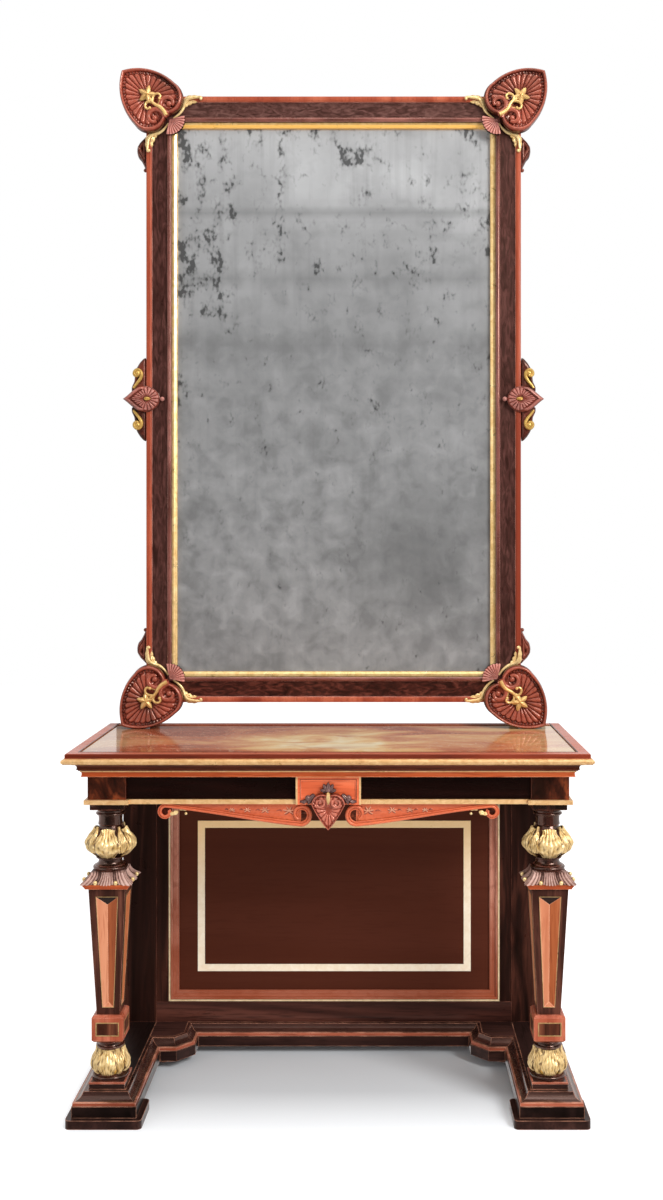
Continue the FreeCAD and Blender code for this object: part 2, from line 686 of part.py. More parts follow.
def make_frieze():
    tenon_foot, tenon_head = "collar_top + tenon_shoulder", "cove_foot - tenon_shoulder"
    middle_y = "field_front + rail_thickness / 2"
    front_tenon = box("-block_inner - tenon_length", "block_inner + tenon_length",
                      f"{middle_y} - tenon_thickness / 2", f"{middle_y} + tenon_thickness / 2",
                      tenon_foot, tenon_head)
    rail = new_body()
    pad(rail, outline(rail, "YZ_Plane", rail_section("block_front", "frieze_recess", "rail_thickness")),
        "2 * block_inner", symmetric=True)
    node(joined(rail, front_tenon), "frieze_front")
    middle_x = "field_outer - rail_thickness / 2"
    side_tenon = box(f"{middle_x} - tenon_thickness / 2", f"{middle_x} + tenon_thickness / 2",
                     "block_back - tenon_length", "post_front + tenon_length", tenon_foot, tenon_head)
    side = new_body("block_outer", "(block_back + post_front) / 2", "0", Rotation(Vector(0, 0, 1), 90))
    pad(side, outline(side, "YZ_Plane", rail_section("0", "frieze_recess", "rail_thickness")),
        "post_front - block_back", symmetric=True)
    pair("frieze_sides", joined(side, side_tenon))
    sockets = doc.addObject("Part::Compound", "Sockets")
    sockets.Links = [front_tenon, side_tenon, pin("leg_x", "leg_y", "collar_top", "rod_hole", "rod_bite")]
    block = box("block_inner", "block_outer", "block_front", "block_back", "collar_top", "cove_foot")
    pair("frieze_blocks", cut(block, sockets))
    post = box("block_inner", "block_outer", "post_front", "back", "base_top", "cove_foot")
    left_and_right("rear_post", cut(post, side_tenon))
    make_frieze_trim()
    table_edge("frieze_fillet", [
        ("0", "fillet_foot"), ("frieze_inset - fillet_inset", "fillet_foot"),
        ("frieze_inset - fillet_inset", "cove_foot"), ("0", "cove_foot", "-fillet_bulge"),
    ], "frieze_inset - fillet_inset", "fillet_inset")


def make_frieze_trim():
    collar = new_body("leg_x", "leg_y")
    side, field = "block_side / 2", "block_side / 2 - frieze_recess"
    around = [
        ("-collar_half", "-collar_half"), ("collar_half", "-collar_half"), ("collar_half", "collar_half"),
        (field, "collar_half"), (field, side), (f"-{side}", side),
        (f"-{side}", f"-({field})"), ("-collar_half", f"-({field})"),
    ]
    pad(collar, outline(collar, "XY_Plane", around, lift="frieze_foot"), "collar_height")
    drill_for_rod(collar)
    section = [
        ("0", "frieze_foot"), ("collar_projection", "frieze_foot"), ("collar_projection", "collar_top"),
        ("collar_bulge", "collar_top"),
    ]
    inner, outer = "centre_width / 2", "leg_x - collar_half"
    ahead = strip(section, "collar_projection", f"{outer} - {inner}", SQUARE, SQUARE,
                  f"({inner} + {outer}) / 2", "field_front - collar_projection")
    near = "leg_y + collar_half"
    side = strip(section, "collar_projection", f"post_front - ({near})", SQUARE, SQUARE,
                 "field_outer + collar_projection", f"(post_front + {near}) / 2",
                 turn=Rotation(Vector(0, 0, 1), 90))
    pieces = [collar, ahead, side]
    group("frieze_gilt_moulding", pieces + [mirrored(item) for item in pieces])
    block = new_body("0", "field_front", "0", FACING)
    pad(block, outline(block, "XY_Plane", rectangle(
        "-centre_width / 2", "frieze_foot", "centre_width / 2", "fillet_foot")), "centre_projection")
    edge = "centre_width / 2 - centre_margin"
    sunk = rectangle(f"-({edge})", "frieze_foot + centre_margin", edge, "fillet_foot - centre_margin")
    pocket(block, outline(block, "XY_Plane", sunk, lift="centre_projection"), "centre_sink")
    node(block, "centre_block")


def make_apron_and_heart():
    front_face = "field_front - centre_projection"
    tip, shoulder = "frieze_foot - heart_drop", "frieze_foot - heart_drop + heart_shoulder"
    head = f"{tip} + heart_height"
    cleft = f"{head} - heart_cleft"
    heart = carved([
        ("0", tip, "heart_side_bulge"), ("heart_width / 2", shoulder, "heart_lobe_bulge"),
        ("crest_width / 2", cleft), ("crest_width / 2", head, "crest_bulge"),
        ("0", f"{head} + crest_height", "crest_bulge"),
        ("-crest_width / 2", head), ("-crest_width / 2", cleft, "heart_lobe_bulge"),
        ("-heart_width / 2", shoulder, "heart_side_bulge"),
    ], "0", front_face, "0", "heart_thickness")
    node(heart, "heart_cartouche")
    top = "frieze_foot"
    inner_eye, outer_eye = "apron_inner + inner_volute", "apron_outer - outer_volute"
    quarter_in, quarter_out = f"{ROUND_CORNER} * inner_volute", f"{ROUND_CORNER} * outer_volute"
    apron = carved([
        (inner_eye, f"{top} - 2 * inner_volute"),
        (f"{outer_eye} - outer_volute", f"{top} - apron_tail"),
        (f"{outer_eye} - outer_volute", f"{top} - outer_volute", quarter_out),
        (outer_eye, f"{top} - 2 * outer_volute", quarter_out),
        ("apron_outer", f"{top} - outer_volute", quarter_out), (outer_eye, top),
        (inner_eye, top, quarter_in), ("apron_inner", f"{top} - inner_volute", quarter_in),
    ], "0", "field_front - apron_setback + apron_thickness", "0", "apron_thickness")
    left_and_right("scroll_apron", apron)
    root, level = f"{outer_eye} - outer_volute", f"{top} - outer_volute"
    sprig = carved([
        (f"{root} - sprig_length", f"{level} - sprig_droop", "sprig_bulge"),
        (root, f"{level} - sprig_height"), (root, level, "sprig_bulge"),
    ], "0", "field_front - apron_setback + sprig_thickness", "0", "sprig_thickness")
    pair("apron_sprigs", sprig)


def make_back():
    rail = new_body()
    pad(rail, outline(rail, "YZ_Plane", [
        ("frame_front", "base_top"), ("back", "base_top"), ("back", "opening_foot"),
        ("frame_front", "opening_foot", "bottom_rail_bulge"),
    ]), "2 * block_inner", symmetric=True)
    node(rail, "back_bottom_rail")
    head_rail = box("-block_inner", "block_inner", "frame_front", "back", "opening_head", "cove_foot")
    node(head_rail, "back_top_rail")
    stile = joined(
        box("opening_half", "block_inner", "frame_front", "back", "opening_foot", "opening_head"),
        box("opening_half - lip_width", "opening_half", "panel_back", "back",
            "opening_foot", "opening_head"),
    )
    pair("back_stiles", stile)
    node(box(
        "-opening_half + panel_clearance", "opening_half - panel_clearance", "panel_front", "panel_back",
        "opening_foot + panel_clearance", "opening_head - panel_clearance"), "back_panel")
    moulding = [
        ("0", "0"), ("panel_mould_width", "0"),
        ("panel_mould_width", "panel_mould_edge", "panel_mould_sag"),
        ("panel_mould_edge", "panel_mould_depth"), ("0", "panel_mould_depth"),
    ]
    bottom, top, side = upright_frame(
        moulding, "panel_mould_width", "opening_half", "opening_foot", "opening_head", "panel_front")
    group("panel_moulding", [bottom, top, side, mirrored(side)])
    line = rectangle("0", "0", "line_width", "line_thickness")
    bottom, top, side = upright_frame(
        line, "line_width", "line_half", "line_foot", "line_head", "panel_front")
    group("panel_gilt_line", [bottom, top, side, mirrored(side)])


def make_top():
    node(box("-half_width + frieze_inset", "half_width - frieze_inset", "front + frieze_inset", "back",
             "cove_foot", "nosing_foot"), "top_board")
    setback = "cove_foot_inset - cove_top_inset"
    reach = "frieze_inset - cove_top_inset"
    table_edge("top_cove", [
        (setback, "cove_foot"), (reach, "cove_foot"), (reach, "nosing_foot"),
        ("0", "nosing_foot", "-cove_sag"),
    ], reach, "cove_top_inset")
    table_edge("top_nosing", [
        ("nosing_bulge", "nosing_foot"), ("edge_width", "nosing_foot"), ("edge_width", "rim_foot"),
        ("nosing_bulge", "rim_foot", "nosing_bulge"),
    ], "edge_width", "0")
    border = rectangle("0", "rim_foot", "rim_width", "table_height")
    rim = table_edge("top_rim", border, "rim_width", "rim_inset")
    rear = box("-half_width + edge_width", "half_width - edge_width", "back - rim_width", "back",
               "nosing_foot", "table_height")
    rim.Links = [*rim.Links, rear]
    gap = "edge_width + stone_clearance"
    node(box(f"-half_width + {gap}", f"half_width - ({gap})", f"front + {gap}",
             "back - rim_width - stone_clearance", "nosing_foot", "stone_top"), "stone_slab")


def make_mirror_frame():
    ledge = "core_width - core_rebate"
    core = [
        ("0", "0"), (ledge, "0"), (ledge, "glass_setback"), ("core_width", "glass_setback"),
        ("core_width", "core_depth"), ("0", "core_depth"),
    ]
    rebated = ("mirror_half", "mirror_foot", "mirror_head", "mirror_back")
    bottom, top, side = upright_frame(core, "core_width", *rebated)
    pair("mirror_stiles", cut(side, screw_holes("core_depth")))
    node(bottom, "mirror_bottom_rail")
    node(top, "mirror_top_rail")
    band_edge = "core_depth + red_band_height - red_band_bulge"
    red_band = [
        ("0", "core_depth"), ("red_band_width", "core_depth"),
        ("red_band_width", band_edge, "red_band_bulge"), ("0", band_edge),
    ]
    outer_bead, inner_bead = "core_width - bead_width", "core_width"
    bead = [
        (outer_bead, "core_depth"), (inner_bead, "core_depth"),
        (inner_bead, "core_depth + bead_height - bead_bulge", "bead_bulge"),
        (outer_bead, "core_depth + bead_height - bead_bulge"),
    ]
    glass_face = "glass_setback + glass_thickness"
    slip = [
        ("core_width", glass_face), ("sight", glass_face),
        ("sight", f"{glass_face} + slip_edge", "-slip_sag"), ("core_width", "core_depth + slip_rise"),
    ]
    for label, section, width in (
        ("mirror_red_band", red_band, "red_band_width"), ("mirror_bead", bead, "core_width"),
        ("mirror_gilt_slip", slip, "sight"),
    ):
        bottom, top, side = upright_frame(section, width, *rebated)
        group(label, [bottom, top, side, mirrored(side)])
    for label, edge, near, far in (
        ("mirror_glass", "glass_edge", "glass_back - glass_thickness", "glass_back"),
        ("mirror_backboard", "board_edge", "glass_back", "glass_back + backboard_thickness"),
    ):
        node(box(f"-mirror_half + {edge}", f"mirror_half - ({edge})", near, far,
                 f"mirror_foot + {edge}", f"mirror_head - ({edge})"), label)


def heart_shell(half, cusp, shoulder, tip, lobe, flank):
    """Outline of a corner shell: it points along +Y, and lobe and flank are how far its edges swell."""
    return [
        ("0", cusp, lobe), (half, shoulder, flank), ("0", tip, flank), (f"-({half})", shoulder, lobe),
    ]


def make_mirror_carvings():
    inset = "mirror_half - shell_cusp_inset"
    floor = "band_front - shell_thickness + shell_dish"
    rim = heart_shell("shell_half_width", "0", "shell_shoulder", "shell_length",
                      "shell_lobe_bulge", "shell_side_bulge")
    field = heart_shell("shell_half_width - shell_rim", "shell_point_rim", "shell_shoulder + field_drop",
                        "shell_length - shell_point_rim", "shell_lobe_bulge - field_lobe_ease",
                        "shell_side_bulge - field_side_ease")
    spray = [
        ("0", "spray_start", "spray_bulge"), ("spray_width / 2", "spray_start + spray_belly", "spray_bulge"),
        ("0", "spray_start + spray_length", "spray_bulge"),
        ("-spray_width / 2", "spray_start + spray_belly", "spray_bulge"),
    ]
    shells, sprays, fans = [], [], []
    for angle, level, way in ((45, "mirror_head", "-"), (135, "mirror_foot", "+")):
        cusp = f"{level} {way} shell_cusp_inset"
        shell = carved(rim, inset, "band_front", cusp, "shell_thickness", angle)
        pocket(shell, outline(shell, "XY_Plane", field, lift="shell_thickness"), "shell_dish")
        shells.append(shell)
        sprays.append(carved(spray, inset, floor, cusp, "spray_thickness", angle))
        fan = new_body("mirror_half - fan_inset", "core_front - bead_height",
                       f"{level} {way} fan_inset", FACING)
        pad(fan, circle(fan, "XY_Plane", "0", "0", "fan_radius"), "fan_thickness")
        fans.append(fan)
    group("corner_shells", shells + [mirrored(item) for item in shells])
    group("corner_fans", fans + [mirrored(item) for item in fans])
    make_edge_carvings(sprays)


def make_edge_carvings(sprays):
    """Scroll leaves beside the shells, the side palmettes and all the gilt leaves."""
    scrolls, leaves = [], []
    rising = [
        ("0", "0"), ("scroll_reach", "scroll_hook", "scroll_bulge"),
        ("scroll_reach / 2", "scroll_length / 2"), ("0", "scroll_length"),
    ]
    falling = [
        ("0", "0"), ("0", "-scroll_length"),
        ("scroll_reach / 2", "-scroll_length / 2", "scroll_bulge"), ("scroll_reach", "-scroll_hook"),
    ]
    leaf = [
        ("0", "0", "leaf_bulge"), ("leaf_width / 2", "leaf_length / 2", "leaf_bulge"),
        ("0", "leaf_length", "leaf_bulge"), ("-leaf_width / 2", "leaf_length / 2", "leaf_bulge"),
    ]
    for level, way, scroll, angle in (("mirror_head", "-", falling, 180), ("mirror_foot", "+", rising, 0)):
        scrolls.append(carved(scroll, "mirror_half", "core_front + scroll_thickness",
                              f"{level} {way} scroll_start", "scroll_thickness"))
        leaves.append(carved(leaf, "mirror_half - red_band_width / 2", "band_front",
                             f"{level} {way} leaf_start", "leaf_thickness", angle))
        leaves.append(carved(leaf, "mirror_half - leaf_start", "band_front",
                             f"{level} {way} red_band_width / 2", "leaf_thickness", -90))
    group("corner_scrolls", scrolls + [mirrored(item) for item in scrolls])
    fan = carved([
        ("-palmette_root", "0", "palmette_bulge"),
        ("palmette_belly", "-palmette_height / 2", "palmette_bulge"),
        ("palmette_reach", "0", "palmette_bulge"),
        ("palmette_belly", "palmette_height / 2", "palmette_bulge"),
    ], "mirror_half", "band_front", "mirror_middle", "palmette_thickness")
    spine = carved([
        ("0", "-spine_length / 2", "spine_bulge"), ("spine_reach", "-palmette_height / 2"),
        ("spine_reach", "palmette_height / 2", "spine_bulge"), ("0", "spine_length / 2"),
    ], "mirror_half", "band_front + spine_thickness", "mirror_middle", "spine_thickness")
    pair("side_palmettes", joined(fan, spine))
    curls = []
    for way in ("-", "+"):
        curl = new_body("mirror_half + curl_offset", "band_front",
                        f"mirror_middle {way} curl_place", FACING)
        pad(curl, circle(curl, "XY_Plane", "0", "0", "curl_radius"), "curl_thickness")
        curls.append(curl)
    gilt = sprays + leaves + curls
    group("mirror_gilt_carving", gilt + [mirrored(item) for item in gilt])


def screw_holes(depth):
    """Holes for the two screws of a wall plate, from its outer face forward."""
    holes = doc.addObject("Part::Compound", "Holes")
    holes.Links = [
        pin("plate_x", "screw_seat", f"screw_low {lift}", "screw_hole", depth, FACING)
        for lift in ("", "+ screw_spacing")
    ]
    return holes


def make_fixings():
    near = "back - rim_width"
    left, right = "mirror_half - foot_block_inset - foot_block_width", "mirror_half - foot_block_inset"
    pair("mirror_feet", box(left, right, near, "mirror_back", "table_height", "mirror_foot"))
    plate = box("plate_x - plate_width / 2", "plate_x + plate_width / 2", "mirror_back", "screw_seat",
                "screw_low - plate_margin", "mirror_head + plate_rise")
    wall_hole = pin("plate_x", "screw_seat", "mirror_head + plate_rise - plate_hole_drop",
                    "plate_hole_radius", "plate_thickness", FACING)
    pair("wall_plates", cut(cut(plate, wall_hole), screw_holes("plate_thickness")))
    screws = []
    for lift in ("", "+ screw_spacing"):
        level = f"screw_low {lift}"
        shank = pin("plate_x", "screw_seat", level, "screw_radius", "screw_length", FACING)
        head = pin("plate_x", "screw_seat + screw_head_height", level,
                   "screw_head_radius", "screw_head_height", FACING)
        screws.append(joined(shank, head))
    group("plate_screws", screws + [mirrored(item) for item in screws])


def check_and_write():
    doc.recompute()
    failed = [item.Name for item in doc.Objects if "Invalid" in item.State or "Error" in item.State]
    faulty = [item.Label for item in nodes if item.Shape.isNull() or not item.Shape.isValid()]
    if failed or faulty:
        raise SystemExit(f"failed: {failed} faulty: {faulty}")
    os.makedirs("parts", exist_ok=True)
    for item in nodes:
        item.Shape.exportStep(f"parts/{item.Label}.step")
    print(len(nodes), "sub-parts,", sum(len(item.Shape.Solids) for item in nodes), "solids")


make_base()
make_base_mouldings()
make_legs()
make_frieze()
make_apron_and_heart()
make_back()
make_top()
make_mirror_frame()
make_mirror_carvings()
make_fixings()
check_and_write()
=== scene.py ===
# %% [markdown]
# # A pier table with its standing mirror
# The real piece is a wall table in dark rosewood and red wood, with gilt carving, a stone top and a tall
# mirror standing on it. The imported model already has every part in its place, so it is loaded as a fixed
# frame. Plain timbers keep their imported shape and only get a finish. Carved, turned and moulded parts are
# made again here with finer detail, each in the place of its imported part.

# %% load the frame
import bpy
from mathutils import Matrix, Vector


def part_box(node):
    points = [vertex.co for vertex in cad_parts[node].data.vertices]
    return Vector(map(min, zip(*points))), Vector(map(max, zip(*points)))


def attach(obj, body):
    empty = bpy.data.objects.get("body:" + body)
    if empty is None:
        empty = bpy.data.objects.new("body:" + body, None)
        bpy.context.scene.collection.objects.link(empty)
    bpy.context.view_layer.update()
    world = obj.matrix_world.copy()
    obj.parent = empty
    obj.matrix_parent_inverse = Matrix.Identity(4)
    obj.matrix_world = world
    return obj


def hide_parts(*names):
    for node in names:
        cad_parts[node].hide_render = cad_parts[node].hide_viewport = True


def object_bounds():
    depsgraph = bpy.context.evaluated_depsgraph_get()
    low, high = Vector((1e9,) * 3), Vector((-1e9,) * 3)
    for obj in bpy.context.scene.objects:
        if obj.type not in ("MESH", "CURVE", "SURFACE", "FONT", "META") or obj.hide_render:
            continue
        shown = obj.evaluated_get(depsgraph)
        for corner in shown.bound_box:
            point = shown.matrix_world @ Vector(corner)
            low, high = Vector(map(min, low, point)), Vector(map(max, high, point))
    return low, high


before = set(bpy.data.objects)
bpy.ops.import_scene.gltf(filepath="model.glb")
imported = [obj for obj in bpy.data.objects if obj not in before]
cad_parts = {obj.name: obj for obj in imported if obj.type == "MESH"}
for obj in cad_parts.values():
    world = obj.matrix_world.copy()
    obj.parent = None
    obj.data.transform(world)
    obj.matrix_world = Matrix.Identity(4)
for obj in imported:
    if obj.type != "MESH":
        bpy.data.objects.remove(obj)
cad_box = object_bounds()
print("packed parts:", len(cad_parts), "box:", cad_box)

# %% [markdown]
# ## Camera
# The photo was taken with a level camera about 1.4 m up and a little to the right of the middle. To take in
# the whole height a camera can be tilted or its lens shifted. A shift keeps the uprights upright, so
# nothing is tilted here.

# %% camera
import math
import bmesh
import bpy
import numpy as np
from mathutils import Matrix

CAMERA_PLACE = (0.1125, -3.242, 1.427)
LENS = 36.9
SENSOR = 36
SHIFT = (-0.0354, -0.0475)


def into_scene(name, data):
    """A new object in the scene."""
    made = bpy.data.objects.new(name, data)
    bpy.context.scene.collection.objects.link(made)
    return made


camera = into_scene("camera", bpy.data.cameras.new("camera"))
camera.location = CAMERA_PLACE
camera.rotation_euler = (math.radians(90), 0, 0)
camera.data.lens = LENS
camera.data.sensor_width = SENSOR
camera.data.shift_x, camera.data.shift_y = SHIFT
bpy.context.scene.camera = camera
bpy.context.scene.view_settings.view_transform = "Standard"
print("camera at", CAMERA_PLACE)

# %% [markdown]
# ## Node helpers
# A finish is a small tree of nodes. Nodes can be added one by one in the editor, but these helpers add a node
# with its inputs in one line, so that each finish below reads as a recipe. Colours are written as they look
# on screen, from 0 to 255, and turned into the linear values that the shader works with.

# %% adding nodes
def tone(red, green, blue):
    """A screen colour as linear values."""
    shades = (red, green, blue)
    return tuple(((c / 255 + 0.055) / 1.055) ** 2.4 if c > 10 else c / 3295 for c in shades) + (1.0,)


def grey(level):
    return tone(level, level, level)


def add(tree, kind, inputs=None, **settings):
    """Add a node. Each input follows a socket or holds a plain value."""
    node = tree.nodes.new("ShaderNode" + kind)
    for key, item in settings.items():
        setattr(node, key, item)
    for key, item in (inputs or {}).items():
        if isinstance(item, bpy.types.NodeSocket):
            tree.links.new(item, node.inputs[key])
        else:
            node.inputs[key].default_value = item
    return node


print("linear mid grey:", grey(128))

# %% sums, ranges and colours
def maths(tree, operation, first, second=0.0):
    return add(tree, "Math", {0: first, 1: second}, operation=operation).outputs[0]


def times(tree, first, second):
    return maths(tree, "MULTIPLY", first, second)


def plus(tree, first, second):
    return maths(tree, "ADD", first, second)


def most(tree, first, second):
    return maths(tree, "MAXIMUM", first, second)


def fit(tree, item, low, high, to_low=0.0, to_high=1.0):
    """Stretch the values between low and high over a new range."""
    return add(tree, "MapRange", {0: item, 1: low, 2: high, 3: to_low, 4: to_high}).outputs[0]


def mix(tree, factor, first, second):
    return add(tree, "Mix", {0: factor, 6: first, 7: second}, data_type="RGBA").outputs[2]


def ramp(tree, factor, *stops):
    """A colour that runs through several stops of (place, colour)."""
    node = add(tree, "ValToRGB", {0: factor})
    elements = node.color_ramp.elements
    while len(elements) < len(stops):
        elements.new(0.5)
    for element, (place, colour) in zip(elements, stops):
        element.position = place
        element.color = colour
    return node.outputs[0]


print("sums, ranges and colours ready")

# %% places on the object
def object_place(tree):
    return add(tree, "TexCoord").outputs["Object"]


def axes(tree, vector):
    return add(tree, "SeparateXYZ", {0: vector}).outputs


def stretched(tree, place, by):
    return add(tree, "VectorMath", {0: place, 1: by}, operation="MULTIPLY").outputs[0]


def facing_up(tree):
    """1 on faces that look up, -1 on faces that look down."""
    return axes(tree, add(tree, "NewGeometry").outputs["Normal"])[2]


def noise(tree, place, scale, detail=3.0, twist=0.0):
    inputs = {"Vector": place, "Scale": scale, "Detail": detail, "Distortion": twist}
    return add(tree, "TexNoise", inputs).outputs[0]


print("places and noise ready")

# %% groups and finishes
def new_group(name, inputs, outputs):
    group = bpy.data.node_groups.new(name, "ShaderNodeTree")
    for label, kind, start in inputs:
        socket = group.interface.new_socket(label, in_out="INPUT", socket_type="NodeSocket" + kind)
        socket.default_value = start
    for label in outputs:
        group.interface.new_socket(label, in_out="OUTPUT", socket_type="NodeSocketFloat")
    return group, group.nodes.new("NodeGroupInput").outputs, group.nodes.new("NodeGroupOutput").inputs


def place_group(tree, group, inputs):
    return add(tree, "Group", inputs, node_tree=group).outputs


def new_finish(name):
    finish = bpy.data.materials.new(name)
    finish.use_nodes = True
    return finish, finish.node_tree, finish.node_tree.nodes["Principled BSDF"]


def settle(shader, plain):
    """Values that are the same all over go on the shader's own sockets."""
    for label, item in plain.items():
        shader.inputs[label].default_value = item


def feed(tree, shader, sockets):
    """Values that change over the surface are linked."""
    for label, socket in sockets.items():
        tree.links.new(socket, shader.inputs[label])


print("groups and finishes ready")

# %% [markdown]
# ## Shared effects
# Wood shows broad stripes of figure and fine pores, both drawn out along the grain. The grain's way differs
# from part to part, so the group takes it as an input. Pale arrises, partly wear and partly a painted
# highlight, could be painted by hand. Here they come from comparing the true normal with a rounded one, because
# the two differ only along edges.

# %% wood grain
wood_grain, given, out = new_group("wood_grain", [
    ("Along", "Vector", (1.0, 1.0, 0.07)), ("Broad", "Float", 9.0), ("Fine", "Float", 190.0)],
    ["Figure", "Pores"])
drawn = stretched(wood_grain, object_place(wood_grain), given["Along"])
wood_grain.links.new(noise(wood_grain, drawn, given["Broad"], 5.0, 1.6), out["Figure"])
wood_grain.links.new(noise(wood_grain, drawn, given["Fine"], 2.0, 0.3), out["Pores"])
print("group:", wood_grain.name)

# %% pale arrises: wear and painted highlight
arris_wear_and_highlight, given, out = new_group("arris_wear_and_highlight", [("Radius", "Float", 0.002)], ["Edge"])
soft = add(arris_wear_and_highlight, "Bevel", {"Radius": given["Radius"]}, samples=4).outputs[0]
hard = add(arris_wear_and_highlight, "NewGeometry").outputs["Normal"]
agree = add(arris_wear_and_highlight, "VectorMath", {0: soft, 1: hard}, operation="DOT_PRODUCT").outputs["Value"]
patchy = fit(arris_wear_and_highlight, noise(arris_wear_and_highlight, object_place(arris_wear_and_highlight), 28.0, 4.0), 0.38, 0.6, 0.25, 1.0)
arris_wear_and_highlight.links.new(times(arris_wear_and_highlight, fit(arris_wear_and_highlight, agree, 0.995, 0.84), patchy), out["Edge"])
print("group:", arris_wear_and_highlight.name)

# %% [markdown]
# The depth of carving is stored on each carved piece as a value named relief. Old polish stays in the hollows
# and the crests are rubbed, so dirt and wear follow that value, and so do painted shade in the hollows and a
# painted highlight on the crests. Smudges from handling vary the gloss of all finishes.

# %% carved depth and handling marks
carved_depth, given, out = new_group("carved_depth", [("Dust", "Float", 0.2)], ["Crest", "Hollow"])
relief = add(carved_depth, "Attribute", attribute_name="relief").outputs["Fac"]
speck = fit(carved_depth, noise(carved_depth, object_place(carved_depth), 140.0, 4.0), 0.3, 0.7, -0.5, 0.5)
level = plus(carved_depth, relief, times(carved_depth, speck, given["Dust"]))
carved_depth.links.new(fit(carved_depth, level, 0.45, 0.95), out["Crest"])
carved_depth.links.new(fit(carved_depth, level, 0.5, 0.02), out["Hollow"])

handled, given, out = new_group("handled", [("Scale", "Float", 14.0)], ["Smudge"])
marks = noise(handled, object_place(handled), given["Scale"], 5.0, 0.6)
handled.links.new(fit(handled, marks, 0.3, 0.7), out["Smudge"])
print("shared effects:", [group.name for group in bpy.data.node_groups])

# %% [markdown]
# ## Wood finishes
# One recipe serves all the woods: figure sets the colour, pores darken and roughen it, arrises are paler from
# wear and a painted highlight, and on carved work the hollows keep old polish and painted shade and the crests
# a painted highlight. A wood may also have painted light on its upward faces, or deepen towards the floor. A
# picture of real veneer would show its seams, so the grain is drawn by noise.

# %% wood recipe
UPRIGHT = (1.0, 1.0, 0.07)
ACROSS = (0.07, 1.0, 1.0)
DEEP = (1.0, 0.07, 1.0)
CARVED_GRAIN = (0.6, 1.0, 0.6)
OLD_POLISH_AND_SHADE = tone(30, 9, 6)
WARM_SHEEN = tone(255, 208, 188)
WARM_COAT = tone(255, 224, 208)


def wood(name, along, dark, middle, light, arris, gloss=0.26, carved=False, coat=0.08, broad=9.0,
         arris_width=0.0022, sheen=0.25, painted_top_light=None, low=None):
    """A polished wood in four shades, from its dark stripes to its pale arrises, rubbed and with a painted
    highlight.
    """
    dark, middle, light, arris = (tone(*shade) for shade in (dark, middle, light, arris))
    finish, tree, shader = new_finish(name)
    grain = place_group(tree, wood_grain, {"Along": along, "Broad": broad})
    colour = ramp(tree, grain["Figure"], (0.34, dark), (0.5, middle), (0.66, light))
    pores = fit(tree, grain["Pores"], 0.52, 0.66)
    colour = mix(tree, times(tree, pores, 0.55), colour, dark)
    # On carving, hollows get old polish and painted shade, and crests are rubbed pale with a painted highlight.
    if carved:
        depth = place_group(tree, carved_depth, {"Dust": 0.25})
        colour = mix(tree, times(tree, depth["Hollow"], 0.9), colour, OLD_POLISH_AND_SHADE)
        colour = mix(tree, times(tree, depth["Crest"], 0.4), colour, arris)
    else:
        # Arrises are paler, partly from wear and partly as a painted highlight.
        edge = place_group(tree, arris_wear_and_highlight, {"Radius": arris_width})["Edge"]
        colour = mix(tree, edge, colour, arris)
    # Upward faces are painted lighter, as the light that falls on them.
    if painted_top_light:
        colour = mix(tree, fit(tree, facing_up(tree), 0.7, 0.95, 0.0, 0.8), colour, tone(*painted_top_light))
    if low:
        from_floor = fit(tree, axes(tree, object_place(tree))[2], low[0], low[1], 0.8, 0.0)
        colour = mix(tree, from_floor, colour, tone(*low[2]))
    smudge = place_group(tree, handled, {"Scale": 12.0})["Smudge"]
    rough = plus(tree, fit(tree, smudge, 0.0, 1.0, gloss, gloss + 0.12), times(tree, pores, 0.12))
    bump = add(tree, "Bump", {"Height": grain["Pores"], "Strength": 0.08, "Distance": 0.0004}).outputs[0]
    feed(tree, shader, {"Base Color": colour, "Roughness": rough, "Normal": bump})
    settle(shader, {"Coat Weight": coat, "Coat Roughness": 0.16, "Coat Tint": WARM_COAT,
                    "Specular IOR Level": sheen, "Specular Tint": WARM_SHEEN})
    return finish


print("wood recipe ready")

# %% [markdown]
# The dark wood is a polished rosewood. It is nearly black in the frieze panels, redder in the blocks and
# streaked in the posts, and the mouldings of the base are pale along their arrises, from wear and a painted
# highlight.

# %% dark woods
base_rose = ((20, 11, 10), (42, 25, 22), (66, 41, 36), (206, 146, 118))
rosewood_upright = wood("rosewood_upright", UPRIGHT, (32, 15, 11), (68, 37, 29), (112, 67, 53),
                        (176, 118, 98), broad=14.0)
rosewood_across = wood("rosewood_across", ACROSS, (26, 12, 10), (56, 30, 25), (88, 50, 41), (140, 82, 64))
rosewood_base_deep = wood("rosewood_base_deep", DEEP, *base_rose, gloss=0.3, arris_width=0.003)
rosewood_runner = wood("rosewood_runner", DEEP, (10, 6, 5), (25, 15, 13), (44, 27, 24), (206, 146, 118),
                       gloss=0.3, arris_width=0.003, sheen=0.15)
rosewood_base_across = wood("rosewood_base_across", ACROSS, *base_rose, gloss=0.3, arris_width=0.003,
                            sheen=0.12)
rosewood_polish = wood("rosewood_polish", ACROSS, *base_rose, gloss=0.16, arris_width=0.003, coat=0.3,
                       sheen=0.7)
rosewood_streaked = wood("rosewood_streaked", UPRIGHT, (20, 9, 7), (38, 19, 15), (72, 39, 30),
                         (120, 70, 56), broad=18.0)
rosewood_turned = wood("rosewood_turned", UPRIGHT, (14, 6, 4), (34, 16, 12), (64, 29, 21), (136, 78, 60),
                       broad=24.0, gloss=0.14, coat=0.3, sheen=0.8)
rosewood_tablet = wood("rosewood_tablet", UPRIGHT, (48, 22, 14), (88, 46, 31), (122, 70, 48),
                       (146, 90, 66), broad=30.0)
rosewood_figured = wood("rosewood_figured", (1.0, 1.0, 0.4), (18, 6, 3), (56, 22, 11), (122, 56, 28),
                        (140, 78, 60), broad=16.0)
